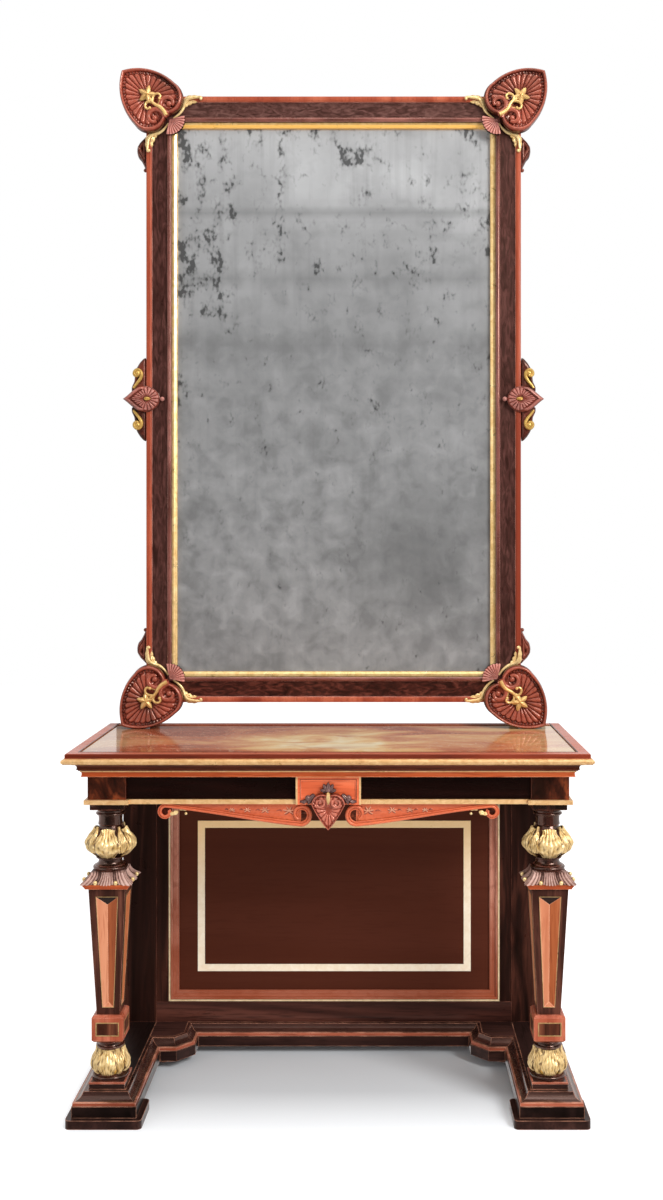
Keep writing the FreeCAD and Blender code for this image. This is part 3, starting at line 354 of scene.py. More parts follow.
rosewood_cove = wood("rosewood_cove", ACROSS, (40, 15, 8), (76, 31, 17), (108, 48, 28), (150, 80, 54))
panel_black = wood("panel_black", ACROSS, (9, 2, 1), (17, 4, 3), (30, 9, 6), (64, 28, 20), gloss=0.2)
dark_polish = wood("dark_polish", CARVED_GRAIN, (22, 12, 13), (44, 26, 27), (70, 44, 44), (160, 126, 122),
                   gloss=0.14, carved=True, sheen=0.6)
print("dark woods:", len(bpy.data.materials))

# %% [markdown]
# The mirror's frame is cut from finer, mottled stuff. Its head rail is painted lighter and greyer for the sheen
# of light on it, and its foot rail is darkest.

# %% woods of the mirror frame
frame_upright = wood("frame_upright", (1.0, 1.0, 0.25), (42, 21, 17), (62, 35, 31), (82, 50, 45),
                     (140, 94, 82), broad=70.0)
frame_head = wood("frame_head", (0.4, 1.0, 1.0), (52, 30, 26), (78, 50, 45), (98, 68, 62), (140, 98, 88),
                  broad=80.0)
frame_foot = wood("frame_foot", (0.4, 1.0, 1.0), (34, 13, 9), (58, 25, 19), (90, 44, 34), (140, 84, 68),
                  broad=60.0)
frame_bead = wood("frame_bead", (0.3, 1.0, 0.3), (66, 31, 25), (104, 58, 51), (134, 86, 78),
                  (200, 152, 142), gloss=0.14, coat=0.3, sheen=0.8)
print("woods of the mirror frame:", [wood_of.name for wood_of in (frame_upright, frame_head, frame_foot)])

# %% [markdown]
# The red wood is a padouk-like timber that shows salmon where it is rubbed, and its arrises also carry a
# painted highlight. The top faces of the rim are painted lighter, as the light that falls on them. Plain strips
# are bright, and carved parts are darker, with old polish and painted shade in their hollows.

# %% red woods
redwood_rim = wood("redwood_rim", ACROSS, (66, 20, 10), (104, 38, 22), (136, 56, 35), (216, 124, 88),
                   gloss=0.24, painted_top_light=(196, 104, 76))
redwood_fillet = wood("redwood_fillet", ACROSS, (140, 54, 22), (180, 80, 38), (204, 106, 60),
                      (236, 160, 120), gloss=0.3)
redwood_base = wood("redwood_base", ACROSS, (104, 44, 28), (146, 72, 50), (172, 92, 68), (224, 168, 144),
                    gloss=0.24, arris_width=0.003)
redwood_band = wood("redwood_band", UPRIGHT, (122, 48, 30), (154, 72, 48), (172, 92, 66), (214, 146, 118),
                    gloss=0.3)
redwood_block = wood("redwood_block", ACROSS, (176, 70, 36), (214, 100, 60), (228, 122, 82),
                     (240, 160, 124), gloss=0.3)
redwood_die = wood("redwood_die", UPRIGHT, (132, 58, 37), (166, 84, 59), (192, 112, 86), (228, 164, 138),
                   gloss=0.3)
print("red woods, finishes so far:", len(bpy.data.materials))

# %% carved red woods
redwood_carved = wood("redwood_carved", CARVED_GRAIN, (66, 22, 15), (114, 45, 32), (140, 60, 44),
                      (196, 112, 90), gloss=0.17, carved=True, sheen=0.7)
fan_carved = wood("fan_carved", CARVED_GRAIN, (120, 58, 48), (168, 94, 80), (188, 116, 104),
                  (226, 176, 166), gloss=0.3, carved=True)
palmette_carved = wood("palmette_carved", CARVED_GRAIN, (74, 28, 19), (124, 54, 42), (150, 75, 62),
                       (216, 162, 152), gloss=0.22, carved=True, sheen=0.5)
scroll_carved = wood("scroll_carved", CARVED_GRAIN, (40, 14, 10), (74, 30, 22), (102, 45, 34),
                     (160, 88, 70), gloss=0.2, carved=True, sheen=0.5)
redwood_apron = wood("redwood_apron", ACROSS, (146, 52, 28), (190, 82, 46), (208, 102, 62), (226, 130, 94),
                     gloss=0.18, carved=True, sheen=0.6)
heart_carved = wood("heart_carved", CARVED_GRAIN, (100, 36, 24), (148, 62, 44), (172, 82, 62),
                    (228, 154, 132), gloss=0.16, carved=True, sheen=0.8)
print("carved red woods, finishes so far:", len(bpy.data.materials))

# %% [markdown]
# Salmon veneer lines the sunk panels of the legs and the moulding round the back panel, which is pinker above
# and redder near the floor. The leaf caps are a pale greyish wood, and the boards behind are plain pine.

# %% salmon, leaf and pine woods
leaf_carved = wood("leaf_carved", (1.0, 1.0, 0.4), (120, 82, 72), (174, 136, 124), (200, 166, 154),
                   (226, 198, 188), gloss=0.4, carved=True)
# The same salmon veneer in two copies, one painted lit and one painted in shade.
salmon_painted_lit = wood("salmon_painted_lit", UPRIGHT, (168, 94, 62), (196, 127, 93), (210, 147, 113),
                    (232, 180, 150), gloss=0.28)
salmon_painted_shade = wood("salmon_painted_shade", UPRIGHT, (122, 56, 28), (164, 88, 50), (192, 116, 76), (220, 158, 128),
                   gloss=0.28)
salmon_moulding = wood("salmon_moulding", (0.2, 1.0, 0.2), (132, 74, 58), (180, 118, 98), (204, 146, 126),
                       (246, 200, 176), gloss=0.28, low=(0.14, 0.62, (142, 64, 34)))
pine_across = wood("pine_across", ACROSS, (124, 88, 54), (160, 122, 80), (184, 148, 102), (196, 164, 122),
                   gloss=0.55, coat=0.0)
brown_polish = wood("brown_polish", ACROSS, (71, 32, 21), (75, 35, 23), (79, 38, 26), (100, 54, 40),
                    gloss=0.3, coat=0.0, broad=4.0, sheen=0.12)
print("all woods:", len(bpy.data.materials))

# %% [markdown]
# ## Gilding
# The gilding is thin gold leaf over a brown ground. It is pale and bright on plain mouldings and richer in the
# carving, where the hollows were left dark and also carry painted shade, and the crests a painted highlight.
# Rubbed spots let the ground through, and there it is less of a metal. Above a certain height a brighter yellow
# is painted on as light on the part that the top shades, and the downward faces of the mirror's slip are
# painted a flat gold with little metal, as painted light in place of their dull reflection. A plain yellow
# metal would look like brass, so leaf, ground and wear are mixed by masks.

# %% gilding recipe
PAINTED_LIGHT_YELLOW = tone(255, 206, 136)


def gilding(name, ground, body, crest, carved=False, metal=0.75, painted_light_above=None, lacquer=0.0, painted_underside_gold=None):
    """Gold leaf in three shades: the ground beneath it, its body and its crests, which are rubbed and carry a
    painted highlight.
    """
    ground, body, crest = (tone(*shade) for shade in (ground, body, crest))
    finish, tree, shader = new_finish(name)
    place = object_place(tree)
    mottled = fit(tree, noise(tree, place, 60.0, 5.0, 0.8), 0.3, 0.7)
    colour = mix(tree, mottled, body, crest)
    # Above a height, a brighter yellow gold is painted on as light on the part that the top shades.
    if painted_light_above:
        height = axes(tree, place)[2]
        colour = mix(tree, fit(tree, height, painted_light_above[0], painted_light_above[1], 0.0, 0.9), colour, PAINTED_LIGHT_YELLOW)
    rubbed = fit(tree, noise(tree, place, 210.0, 4.0), 0.66, 0.76)
    # On carving, the hollows show the ground, partly as wear and partly as painted shade, and the crests get a
    # painted highlight.
    if carved:
        depth = place_group(tree, carved_depth, {"Dust": 0.3})
        colour = mix(tree, times(tree, depth["Crest"], 0.6), colour, crest)
        bare = most(tree, depth["Hollow"], times(tree, rubbed, 0.4))
    else:
        bare = times(tree, rubbed, 0.45)
    burnish = fit(tree, bare, 0.0, 1.0, metal, 0.5 * metal)
    # Downward faces are painted a flat gold with little metal, as painted light in place of their dull
    # reflection.
    if painted_underside_gold:
        below = fit(tree, facing_up(tree), -0.15, -0.35)
        colour = mix(tree, below, colour, tone(*painted_underside_gold))
        burnish = times(tree, burnish, fit(tree, below, 0.0, 1.0, 1.0, 0.1))
    smudge = place_group(tree, handled, {"Scale": 40.0})["Smudge"]
    rough = fit(tree, smudge, 0.0, 1.0, 0.26, 0.4)
    bump = add(tree, "Bump", {"Height": mottled, "Strength": 0.15, "Distance": 0.0005}).outputs[0]
    colour = mix(tree, bare, colour, ground)
    feed(tree, shader, {"Base Color": colour, "Metallic": burnish, "Roughness": rough, "Normal": bump})
    settle(shader, {"Coat Weight": lacquer, "Coat Roughness": 0.24})
    return finish


print("gilding recipe ready")

# %% gilt finishes
gilt_plain = gilding("gilt_plain", (142, 82, 42), (210, 160, 104), (232, 190, 136), metal=0.3)
gilt_nosing = gilding("gilt_nosing", (120, 66, 30), (196, 146, 90), (226, 184, 130), metal=0.3)
gilt_pale = gilding("gilt_pale", (196, 158, 116), (244, 222, 192), (252, 236, 212), metal=0.02,
                    painted_light_above=(0.4, 0.66))
gilt_bead = gilding("gilt_bead", (120, 88, 52), (200, 172, 130), (228, 204, 164), metal=0.1)
gilt_slip = gilding("gilt_slip", (112, 70, 30), (210, 166, 98), (240, 206, 146), metal=0.68, lacquer=0.6,
                    painted_underside_gold=(238, 180, 84))
gilt_carved = gilding("gilt_carved", (74, 42, 17), (190, 144, 68), (242, 212, 154), carved=True, metal=0.4)
gilt_spray = gilding("gilt_spray", (70, 38, 16), (168, 124, 62), (222, 182, 116), carved=True, metal=0.4)
gilt_old = gilding("gilt_old", (58, 34, 12), (148, 108, 46), (204, 164, 86), carved=True, metal=0.45)
print("gilt finishes made, finishes so far:", len(bpy.data.materials))

# %% [markdown]
# ## Stone
# The top is a banded onyx with a hard polish. Warm clouds are drawn out along its length, with a pale lens in
# the middle. It is redder on the left, paler on the right, greener at both ends, and has thin cream veins.
# A picture of a real slab could be laid on, but noise stretched along the top can be tuned to any slab.

# %% onyx
onyx, tree, shader = new_finish("onyx")
place = object_place(tree)
parts = axes(tree, place)
drawn = stretched(tree, place, (0.7, 1.9, 1.9))
clouds = noise(tree, drawn, 2.6, 7.0, 1.5)
bands = noise(tree, drawn, 5.0, 7.0, 1.8)
from_heart = add(tree, "VectorMath", {0: place, 1: (3.4, 5.5, 0.0), 2: (-0.1, 0.3, 0.0)},
                 operation="MULTIPLY_ADD").outputs[0]
far = add(tree, "VectorMath", {0: from_heart}, operation="LENGTH").outputs["Value"]
lens = fit(tree, plus(tree, far, times(tree, bands, 0.7)), 0.75, 1.7, 0.3, -0.2)
lens = plus(tree, lens, fit(tree, parts[0], -0.5, 0.5, -0.32, 0.3))
colour = ramp(tree, plus(tree, fit(tree, clouds, 0.3, 0.7), lens), (0.05, tone(164, 84, 56)),
              (0.3, tone(196, 118, 80)), (0.5, tone(216, 148, 98)), (0.78, tone(238, 192, 130)),
              (1.0, tone(246, 226, 184)))
colour = mix(tree, fit(tree, bands, 0.52, 0.7, 0.0, 0.6), colour, tone(184, 98, 64))
ends = fit(tree, plus(tree, maths(tree, "ABSOLUTE", parts[0]), times(tree, clouds, 0.3)), 0.62, 0.76)
colour = mix(tree, times(tree, ends, 0.5), colour, tone(176, 158, 116))
from_vein = maths(tree, "ABSOLUTE", maths(tree, "SUBTRACT", noise(tree, drawn, 8.0, 7.0, 3.2), 0.5))
colour = mix(tree, fit(tree, from_vein, 0.0, 0.016, 0.4, 0.0), colour, tone(244, 226, 192))
smudge = place_group(tree, handled, {"Scale": 9.0})["Smudge"]
feed(tree, shader, {"Base Color": colour, "Roughness": fit(tree, smudge, 0.0, 1.0, 0.06, 0.13)})
settle(shader, {"Specular IOR Level": 0.45})
print("onyx made")

# %% [markdown]
# ## Old mirror glass
# The mirror's silver is old. Its grey is brighter near the top, partly as old silver and partly as a painted
# reflection of the room, and it is crossed by faint bands and streaks and clouded in its lower part. A clear
# mirror would show the empty studio, so the silver is only partly metal here.

# %% silver with bands and streaks
silvered, tree, shader = new_finish("silvered")
place = object_place(tree)
parts = axes(tree, place)
glass_low, glass_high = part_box("mirror_glass")
rise = fit(tree, parts[2], glass_low.z, glass_high.z)
drift = times(tree, maths(tree, "SUBTRACT", noise(tree, place, 3.2, 6.0, 0.5), 0.5), 0.7)
# The grey rises towards the top, partly old silver and partly a painted reflection.
silver = ((0.0, 154), (0.3, 160), (0.55, 158), (0.7, 166), (0.8, 180), (1.0, 208))
colour = ramp(tree, plus(tree, rise, drift), *[(height, grey(level)) for height, level in silver])
bands = stretched(tree, place, (0.4, 1.0, 9.0))
streaks = stretched(tree, place, (46.0, 1.0, 2.2))
veil = most(tree, fit(tree, noise(tree, bands, 1.0, 4.0), 0.54, 0.7, 0.0, 0.3),
            fit(tree, noise(tree, streaks, 1.0, 5.0), 0.5, 0.75, 0.0, 0.3))
colour = mix(tree, veil, colour, grey(132))
for level, reach in ((0.84, 0.012), (0.72, 0.022), (0.6, 0.05)):
    from_band = maths(tree, "ABSOLUTE", maths(tree, "SUBTRACT", rise, level))
    colour = mix(tree, fit(tree, from_band, 0.0, reach, 0.3, 0.0), colour, grey(104))
print("silver between", glass_low.z, "and", glass_high.z, "m")

# %% clouds in the lower part
lower_part = fit(tree, rise, 0.3, 0.8, 1.0, 0.3)
clouds = fit(tree, noise(tree, place, 5.5, 8.0, 0.4), 0.5, 0.72, 0.0, 0.45)
mottle = noise(tree, place, 21.0, 10.0, 0.3)
darker = fit(tree, mottle, 0.5, 0.68, 0.0, 0.46)
lighter = fit(tree, mottle, 0.47, 0.3, 0.0, 0.42)
for patches_of, level in ((clouds, 118), (darker, 108), (lighter, 190)):
    colour = mix(tree, times(tree, patches_of, lower_part), colour, grey(level))
print("clouds drawn")

# %% [markdown]
# Where damp got behind the glass, the silver has gone in ragged black spots. They crowd along the left edge
# and the head, with one larger spot near the top, and each has a dull haze round it. Spots painted one by one
# would look too neat, so noise makes them and a mask says where they are likely.

# %% spots on the mirror
def near_point(x, z, reach):
    """1 at a point of the glass, falling to 0 at a distance."""
    away = add(tree, "VectorMath", {0: place, 1: (x, glass_low.y, z)}, operation="DISTANCE")
    return fit(tree, away.outputs["Value"], 0.0, reach, 1.0, 0.0)


upper_part = fit(tree, rise, 0.3, 0.75)
from_left = fit(tree, parts[0], -glass_high.x, -glass_high.x + 0.26, 0.8, 0.0)
from_right = fit(tree, parts[0], glass_high.x - 0.1, glass_high.x, 0.0, 0.55)
from_head = fit(tree, parts[2], glass_high.z - 0.16, glass_high.z)
likely = most(tree, times(tree, from_left, upper_part), times(tree, from_head, 0.6))
likely = most(tree, likely, times(tree, from_right, upper_part))
likely = most(tree, likely, times(tree, upper_part, 0.18))
likely = times(tree, likely, fit(tree, noise(tree, place, 7.0, 3.0), 0.32, 0.58))
likely = most(tree, likely, near_point(0.072, 2.526, 0.085))
drips = stretched(tree, place, (1.0, 1.0, 0.7))
ragged = plus(tree, times(tree, noise(tree, drips, 30.0, 2.0), 0.7),
              times(tree, noise(tree, drips, 120.0, 6.0), 0.3))
spots = plus(tree, ragged, times(tree, likely, 0.25))
gone = fit(tree, spots, 0.66, 0.735)
colour = mix(tree, fit(tree, spots, 0.6, 0.69, 0.0, 0.35), colour, grey(112))
colour = mix(tree, times(tree, near_point(0.247, 1.39, 0.3), 0.75), colour, grey(112))
colour = mix(tree, times(tree, gone, 0.85), colour, grey(44))
rough = fit(tree, noise(tree, streaks, 2.0, 4.0), 0.3, 0.7, 0.1, 0.24)
feed(tree, shader, {"Base Color": colour, "Metallic": fit(tree, gone, 0.0, 1.0, 0.45, 0.1),
                    "Roughness": rough})
print("mirror glass made")

# %% [markdown]
# ## Steel
# The hidden rods, plates and screws are dull, handled steel. Hardly any of it shows, so one plain metal with
# smudges is enough.

# %% steel
dull_steel, tree, shader = new_finish("dull_steel")
smudge = place_group(tree, handled, {"Scale": 90.0})["Smudge"]
feed(tree, shader, {"Base Color": mix(tree, smudge, tone(118, 116, 112), tone(160, 158, 154)),
                    "Roughness": fit(tree, smudge, 0.0, 1.0, 0.35, 0.6)})
settle(shader, {"Metallic": 1.0})
print("finishes:", len(bpy.data.materials))

# %% [markdown]
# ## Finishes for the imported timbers
# These parts are straight timbers, sheets or fittings on the real table too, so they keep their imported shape.
# Each gets the grain that runs along it.

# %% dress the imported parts
DRESSED = {
    rosewood_base_deep: ["foot_pads"],
    rosewood_runner: ["runner_left", "runner_right"],
    rosewood_base_across: ["rear_stretcher", "corner_blocks"],
    rosewood_polish: ["base_moulding"],
    rosewood_across: ["back_top_rail", "back_bottom_rail"],
    rosewood_streaked: ["rear_post_left", "rear_post_right", "back_stiles"],
    frame_head: ["mirror_top_rail"],
    frame_foot: ["mirror_bottom_rail"],
    frame_upright: ["mirror_stiles", "mirror_feet"],
    rosewood_figured: ["frieze_blocks"],
    panel_black: ["frieze_front", "frieze_sides"],
    redwood_base: ["base_band"],
    redwood_block: ["centre_block"],
    redwood_fillet: ["frieze_fillet"],
    gilt_plain: ["frieze_gilt_moulding"],
    gilt_pale: ["panel_gilt_line"],
    brown_polish: ["back_panel"],
    onyx: ["stone_slab"],
    silvered: ["mirror_glass"],
    pine_across: ["top_board", "mirror_backboard"],
    dull_steel: ["leg_tie_rods", "wall_plates", "plate_screws"],
}
for finish, names in DRESSED.items():
    for name in names:
        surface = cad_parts[name].data
        surface.materials.clear()
        surface.materials.append(finish)
print("dressed:", sum(len(names) for names in DRESSED.values()))

# %% [markdown]
# ## A small workshop
# Carving could be sculpted by hand, but then it could not be changed by a number. Almost every carved or
# turned part here is a row of rings instead: the skin between them is the surface. A patch holds the points
# in millimetres, the faces and how high each point stands in the carving.

# %% patches
class Patch:
    """Points, faces and the height of each point in the carving, from 0 in a hollow to 1 on a crest."""

    def __init__(self, points, faces, relief=None):
        self.points = np.asarray(points, float).reshape(-1, 3)
        self.faces = faces
        self.relief = np.full(len(self.points), 0.7) if relief is None else np.asarray(relief, float).ravel()

    def moved(self, matrix):
        turn = np.array(matrix.to_3x3())
        return Patch(self.points @ turn.T + np.array(matrix.translation), self.faces, self.relief)

    def mirrored(self, sides=(-1, 1, 1)):
        return Patch(self.points * sides, [face[::-1] for face in self.faces], self.relief)


def both(patches):
    """The patches and their copies on the other side."""
    return patches + [patch.mirrored() for patch in patches]


def at_each(places, patches):
    """The patches set at every place."""
    return [patch.moved(place) for place in places for patch in patches]


def skin(rings, relief=None, looped=False):
    """Faces over rings of points. Open rows are closed by a face at each end."""
    count, size = rings.shape[:2]
    here = np.arange(size)
    there = np.roll(here, -1)
    faces = []
    for ring in range(count if looped else count - 1):
        low, high = ring * size, (ring + 1) % count * size
        faces += np.stack([low + here, low + there, high + there, high + here], 1).tolist()
    if not looped:
        faces += [here[::-1].tolist(), (here + (count - 1) * size).tolist()]
    return Patch(rings, faces, relief)


print("patches ready")

# %% [markdown]
# A piece gathers patches into one mesh in metres, gives it its finish and fastens it to the frame. Edges that
# turn sharply stay crisp, and the rest is shaded smoothly.

# %% pieces
MM = 0.001
CREASE = math.radians(36)


def piece(name, patches, finish, slot, *nodes):
    """One mesh from patches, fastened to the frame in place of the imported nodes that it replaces."""
    starts = np.cumsum([0] + [len(patch.points) for patch in patches])
    points = np.concatenate([patch.points for patch in patches]) * MM
    faces = []
    for patch, start in zip(patches, starts):
        faces += [[index + int(start) for index in face] for face in patch.faces]
    surface = bpy.data.meshes.new(name)
    surface.from_pydata(points.tolist(), [], faces)
    solid = bmesh.new()
    solid.from_mesh(surface)
    bmesh.ops.recalc_face_normals(solid, faces=solid.faces)
    solid.to_mesh(surface)
    solid.free()
    heights = np.concatenate([patch.relief for patch in patches])
    surface.attributes.new("relief", "FLOAT", "POINT").data.foreach_set("value", heights)
    surface.materials.append(finish)
    surface.shade_smooth()
    surface.set_sharp_from_angle(angle=CREASE)
    made = into_scene(name, surface)
    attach(made, "root")
    if nodes:
        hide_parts(*nodes)
    print(name, len(faces), "faces")


print("pieces ready, 1 mm is", MM, "m")

# %% [markdown]
# A moulding is a section swept along a path with mitred corners, as a joiner would cut it. A section is
# written as corner points, and a third number bows the edge that follows.

# %% outlines and mouldings
def outline(points, steps=8, closed=True):
    """A run of points. A third number bows the edge after its point out to the right of the way."""
    result = []
    for number, point in enumerate(points):
        start = np.array(point[:2], float)
        if (not closed and number == len(points) - 1) or len(point) == 2:
            result.append(start)
            continue
        chord = np.array(points[(number + 1) % len(points)][:2], float) - start
        length = np.hypot(*chord)
        way = chord / length
        half = 2 * math.atan(2 * point[2] / length)
        radius = length / (2 * math.sin(half))
        for angle in np.linspace(-half, half, steps, endpoint=False):
            along = length / 2 + radius * math.sin(angle)
            aside = radius * (math.cos(angle) - math.cos(half))
            result.append(start + way * along + np.array([way[1], -way[0]]) * aside)
    return np.array(result)


def moulding(path, section, up, looped=False):
    """Sweep a section of (inset, rise) pairs along a path with mitred corners. Insets go to the left."""
    path, up = np.asarray(path, float), np.asarray(up, float)
    ahead = np.roll(path, -1, 0) - path
    ahead /= np.linalg.norm(ahead, axis=1)[:, None]
    left = np.cross(up, ahead)
    before = np.roll(left, 1, 0)
    if not looped:
        left[-1], before[0] = before[-1], left[0]
    mitre = (left + before) / (1 + (left * before).sum(1))[:, None]
    section = np.asarray(section, float)
    rings = path[:, None] + mitre[:, None] * section[None, :, :1] + up * section[None, :, 1:]
    return skin(rings, looped=looped)


def bar(inset, width, low, high):
    """A plain rectangular section."""
    return [(inset, low), (inset + width, low), (inset + width, high), (inset, high)]


print("outlines and mouldings ready")

# %% turned and square blocks
def turned(profile, sides=72):
    """A turning about the upright axis from (radius, height) pairs."""
    profile = np.asarray(profile, float)
    angle = np.linspace(0, 2 * math.pi, sides, endpoint=False)
    rings = np.stack([profile[:, :1] * np.cos(angle), profile[:, :1] * np.sin(angle),
                      np.repeat(profile[:, 1:], sides, 1)], 2)
    return skin(rings)


def squared(profile, corner=1.2, steps=4):
    """A square block about the upright axis from (half side, height) pairs, with softened corners."""
    rings = []
    for half, height in profile:
        edge = half - corner
        ring = []
        for quarter in range(4):
            middle = quarter * math.pi / 2 + math.pi / 4
            for angle in np.linspace(0, math.pi / 2, steps) + quarter * math.pi / 2:
                ring.append((math.copysign(edge, math.cos(middle)) + corner * math.cos(angle),
                             math.copysign(edge, math.sin(middle)) + corner * math.sin(angle), height))
        rings.append(ring)
    return skin(np.array(rings))


print("turned and square blocks ready")

# %% [markdown]
# Stems and beads are tubes, leaves are slabs with a face and a back, and shells are reliefs over an outline,
# whose rings grow from one point. These few forms make up all of the carving.

# %% tubes, slabs and knobs
def tube(path, radius, sides=10):
    """A rod along a path whose radius may change."""
    path = np.asarray(path, float)
    radius = np.broadcast_to(np.asarray(radius, float), len(path))
    way = np.gradient(path, axis=0)
    way /= np.linalg.norm(way, axis=1)[:, None]
    across = np.cross(way, (0, 0, 1))
    across /= np.linalg.norm(across, axis=1)[:, None]
    lift = np.cross(across, way)
    angle = np.linspace(0, 2 * math.pi, sides, endpoint=False)
    rings = path[:, None] + radius[:, None, None] * (
        across[:, None] * np.cos(angle)[None, :, None] + lift[:, None] * np.sin(angle)[None, :, None])
    relief = 0.85 * np.clip(0.55 + 0.6 * np.sin(angle), 0, 1)
    return skin(rings, np.tile(relief, (len(path), 1)))


def slab(top, bottom, relief=None):
    """A closed leaf from the points of its face and of its back."""
    rings = np.concatenate([top, bottom[:, ::-1]], 1)
    if relief is not None:
        relief = np.concatenate([relief, np.zeros_like(relief)], 1)
    return skin(rings, relief)


def ball(centre, radius, tall=1.0):
    """A small knob."""
    turn = np.linspace(-0.48, 0.48, 9) * math.pi
    knob = turned(np.stack([radius * np.cos(turn), radius * tall * np.sin(turn)], 1), 14)
    return Patch(knob.points + np.asarray(centre, float), knob.faces, np.full(len(knob.points), 0.9))


print("tubes, slabs and knobs ready")

# %% reliefs
def even(loop, count):
    """The same closed outline with its points evenly spaced."""
    closed = np.vstack([loop, loop[:1]])
    way = np.concatenate([[0], np.cumsum(np.linalg.norm(np.diff(closed, axis=0), axis=1))])
    places = np.linspace(0, way[-1], count, endpoint=False)
    return np.stack([np.interp(places, way, closed[:, axis]) for axis in (0, 1)], 1)


def carved_disc(loop, centre, steps, height, depth=0.0):
    """A relief over an outline: rings grow from the centre, and height gives each its lift and relief."""
    loop, centre = np.asarray(loop, float), np.asarray(centre, float)
    steps = np.asarray(steps, float)
    flat = centre + steps[:, None, None] * (loop - centre)
    around = np.linspace(0, 1, len(loop), endpoint=False)
    lift, relief = height(steps[:, None], around[None, :], flat)
    rings = np.concatenate([flat, lift[:, :, None]], 2)
    back = np.concatenate([loop, np.full((len(loop), 1), depth)], 1)
    rings = np.concatenate([rings, back[None]], 0)
    return skin(rings, np.concatenate([relief, np.zeros((1, len(loop)))], 0))


def outward(first, last, count, before_edge):
    """Steps from the centre of a relief to its edge."""
    return np.concatenate([np.linspace(first, last, count), [before_edge, 1.0]])


def smooth(item):
    """An eased step from 0 to 1."""
    item = np.clip(item, 0, 1)
    return item * item * (3 - 2 * item)


def hump(item, middle=0.5, half=0.5):
    """1 in the middle, falling to 0 on both sides."""
    return np.clip(1 - ((item - middle) / half) ** 2, 0, 1)


print("reliefs ready")

# %% lines and places
def spiral(centre, start, end, first, last, count=40):
    """A flat spiral from one radius to another, with its angles in degrees."""
    angle = np.radians(np.linspace(first, last, count))
    radius = np.linspace(start, end, count)
    return np.stack([centre[0] + radius * np.cos(angle), centre[1] + radius * np.sin(angle)], 1)


def fine_line(points, count=36):
    """A smooth line through a few flat points."""
    points = np.asarray(points, float)
    steps = np.linspace(0, 1, count)
    places = np.linspace(0, 1, len(points))
    line = np.stack([np.interp(steps, places, points[:, axis]) for axis in (0, 1)], 1)
    for turn in range(6):
        line[1:-1] = (line[:-2] + line[1:-1] + line[2:]) / 3
    return line


def lifted(flat, height):
    """Flat points at a height."""
    heights = np.broadcast_to(np.asarray(height, float).reshape(-1, 1), (len(flat), 1))
    return np.concatenate([flat, heights], 1)


def sizes_along(count, places, sizes):
    """Sizes that change at a few places along a line."""
    return np.interp(np.linspace(0, 1, count), places, sizes)


def facing_front(x, y, z, angle=0.0):
    """Where a relief goes: its own first axis turned by an angle from the right, its height to the front."""
    turn = math.radians(angle)
    c, s = math.cos(turn), math.sin(turn)
    return Matrix(((c, -s, 0, x), (0, 0, -1, y), (s, c, 0, z), (0, 0, 0, 1)))


print("lines and places ready")

# %% [markdown]
# ## Table top
# The top's edge is built up from three mouldings: a red rim with a rounded arris, a gilt nosing and a dark
# stepped cove. Each runs round three sides with mitred corners, so each is one section swept along a path.
# A thin black strip stands as painted shadow where the rim meets the stone, and a gilt fillet underlines the
# cove.

# %% nosing and rim
UP = (0, 0, 1)
RIM_HALF = 610


def edge_path(node, level):
    """The path round the front and sides of a node's box, in millimetres."""
    low, high = (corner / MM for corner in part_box(node))
    return [(low.x, high.y, level), (low.x, low.y, level), (high.x, low.y, level), (high.x, high.y, level)]


nosing_foot, nosing_head = (corner.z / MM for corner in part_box("top_nosing"))
stone_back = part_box("stone_slab")[1].y / MM
nose = outline([(4, 0), (30, 0), (30, 14), (8, 14), (8, 12.4), (3.6, 12.4, 3.5), (3.6, 1.6), (4, 1.6)], 9)
piece("top_nosing_moulding", [moulding(edge_path("top_nosing", nosing_foot), nose, UP)], gilt_nosing, "gilt",
      "top_nosing")
rim_path = edge_path("top_rim", nosing_head)
rim_section = outline([(0.4, 0), (30, 0), (30, 12), (4.5, 12, 1.7), (0.4, 7.5)], 7)
rear_path = [(-RIM_HALF, stone_back, nosing_foot), (RIM_HALF, stone_back, nosing_foot)]
rear_rim = [(0.3, 0), (30.5, 0), (30.5, 26), (0.3, 26)]
piece("top_rim_moulding", [moulding(rim_path, rim_section, UP), moulding(rear_path, rear_rim, UP)],
      redwood_rim, "redwood", "top_rim")
# A black strip, as painted shadow where the rim meets the stone.
painted_shadow_line = [(26.6, 11.2), (29.6, 11.2), (29.6, 12.5), (26.6, 12.5)]
piece("top_rim_shadow_line", [moulding(rim_path, painted_shadow_line, UP)], panel_black, "rosewood")

# %% cove
cove_path = edge_path("top_cove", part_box("top_cove")[0].z / MM)
cove = outline([(20, 0), (60, 0), (60, 22), (0.4, 22), (0.4, 19.5), (2.6, 18, -4.5), (11.5, 6.5),
                (11.5, 4.6), (15, 4.6, 1.2), (17, 1.6), (20, 1.6)], 8)
piece("top_cove_moulding", [moulding(cove_path, cove, UP)], rosewood_cove, "rosewood", "top_cove")
gilt_fillet = [(18.6, -1.6), (21.5, -1.6), (21.5, 1.4), (18.6, 1.4)]
piece("top_gilt_fillet", [moulding(cove_path, gilt_fillet, UP)], gilt_plain, "gilt")

# %% [markdown]
# ## Mirror frame
# The flat rosewood frame carries a raised red band outside, a dark polished bead inside and a gilt slip next
# to the glass, whose long gentle slope catches the light. They are mitred at the corners like the top's edge,
# but stand upright. A fine line runs beside the red band.

# %% mirror mouldings
FRONT = (0, -1, 0)


def upright_loop(half, foot, head, depth):
    return [(-half, depth, foot), (half, depth, foot), (half, depth, head), (-half, depth, head)]


def framed(node, depth, section):
    """A section swept round the front outline of a node's box."""
    low, high = (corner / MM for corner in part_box(node))
    return moulding(upright_loop(high.x, low.z, high.z, depth), section, FRONT, True)


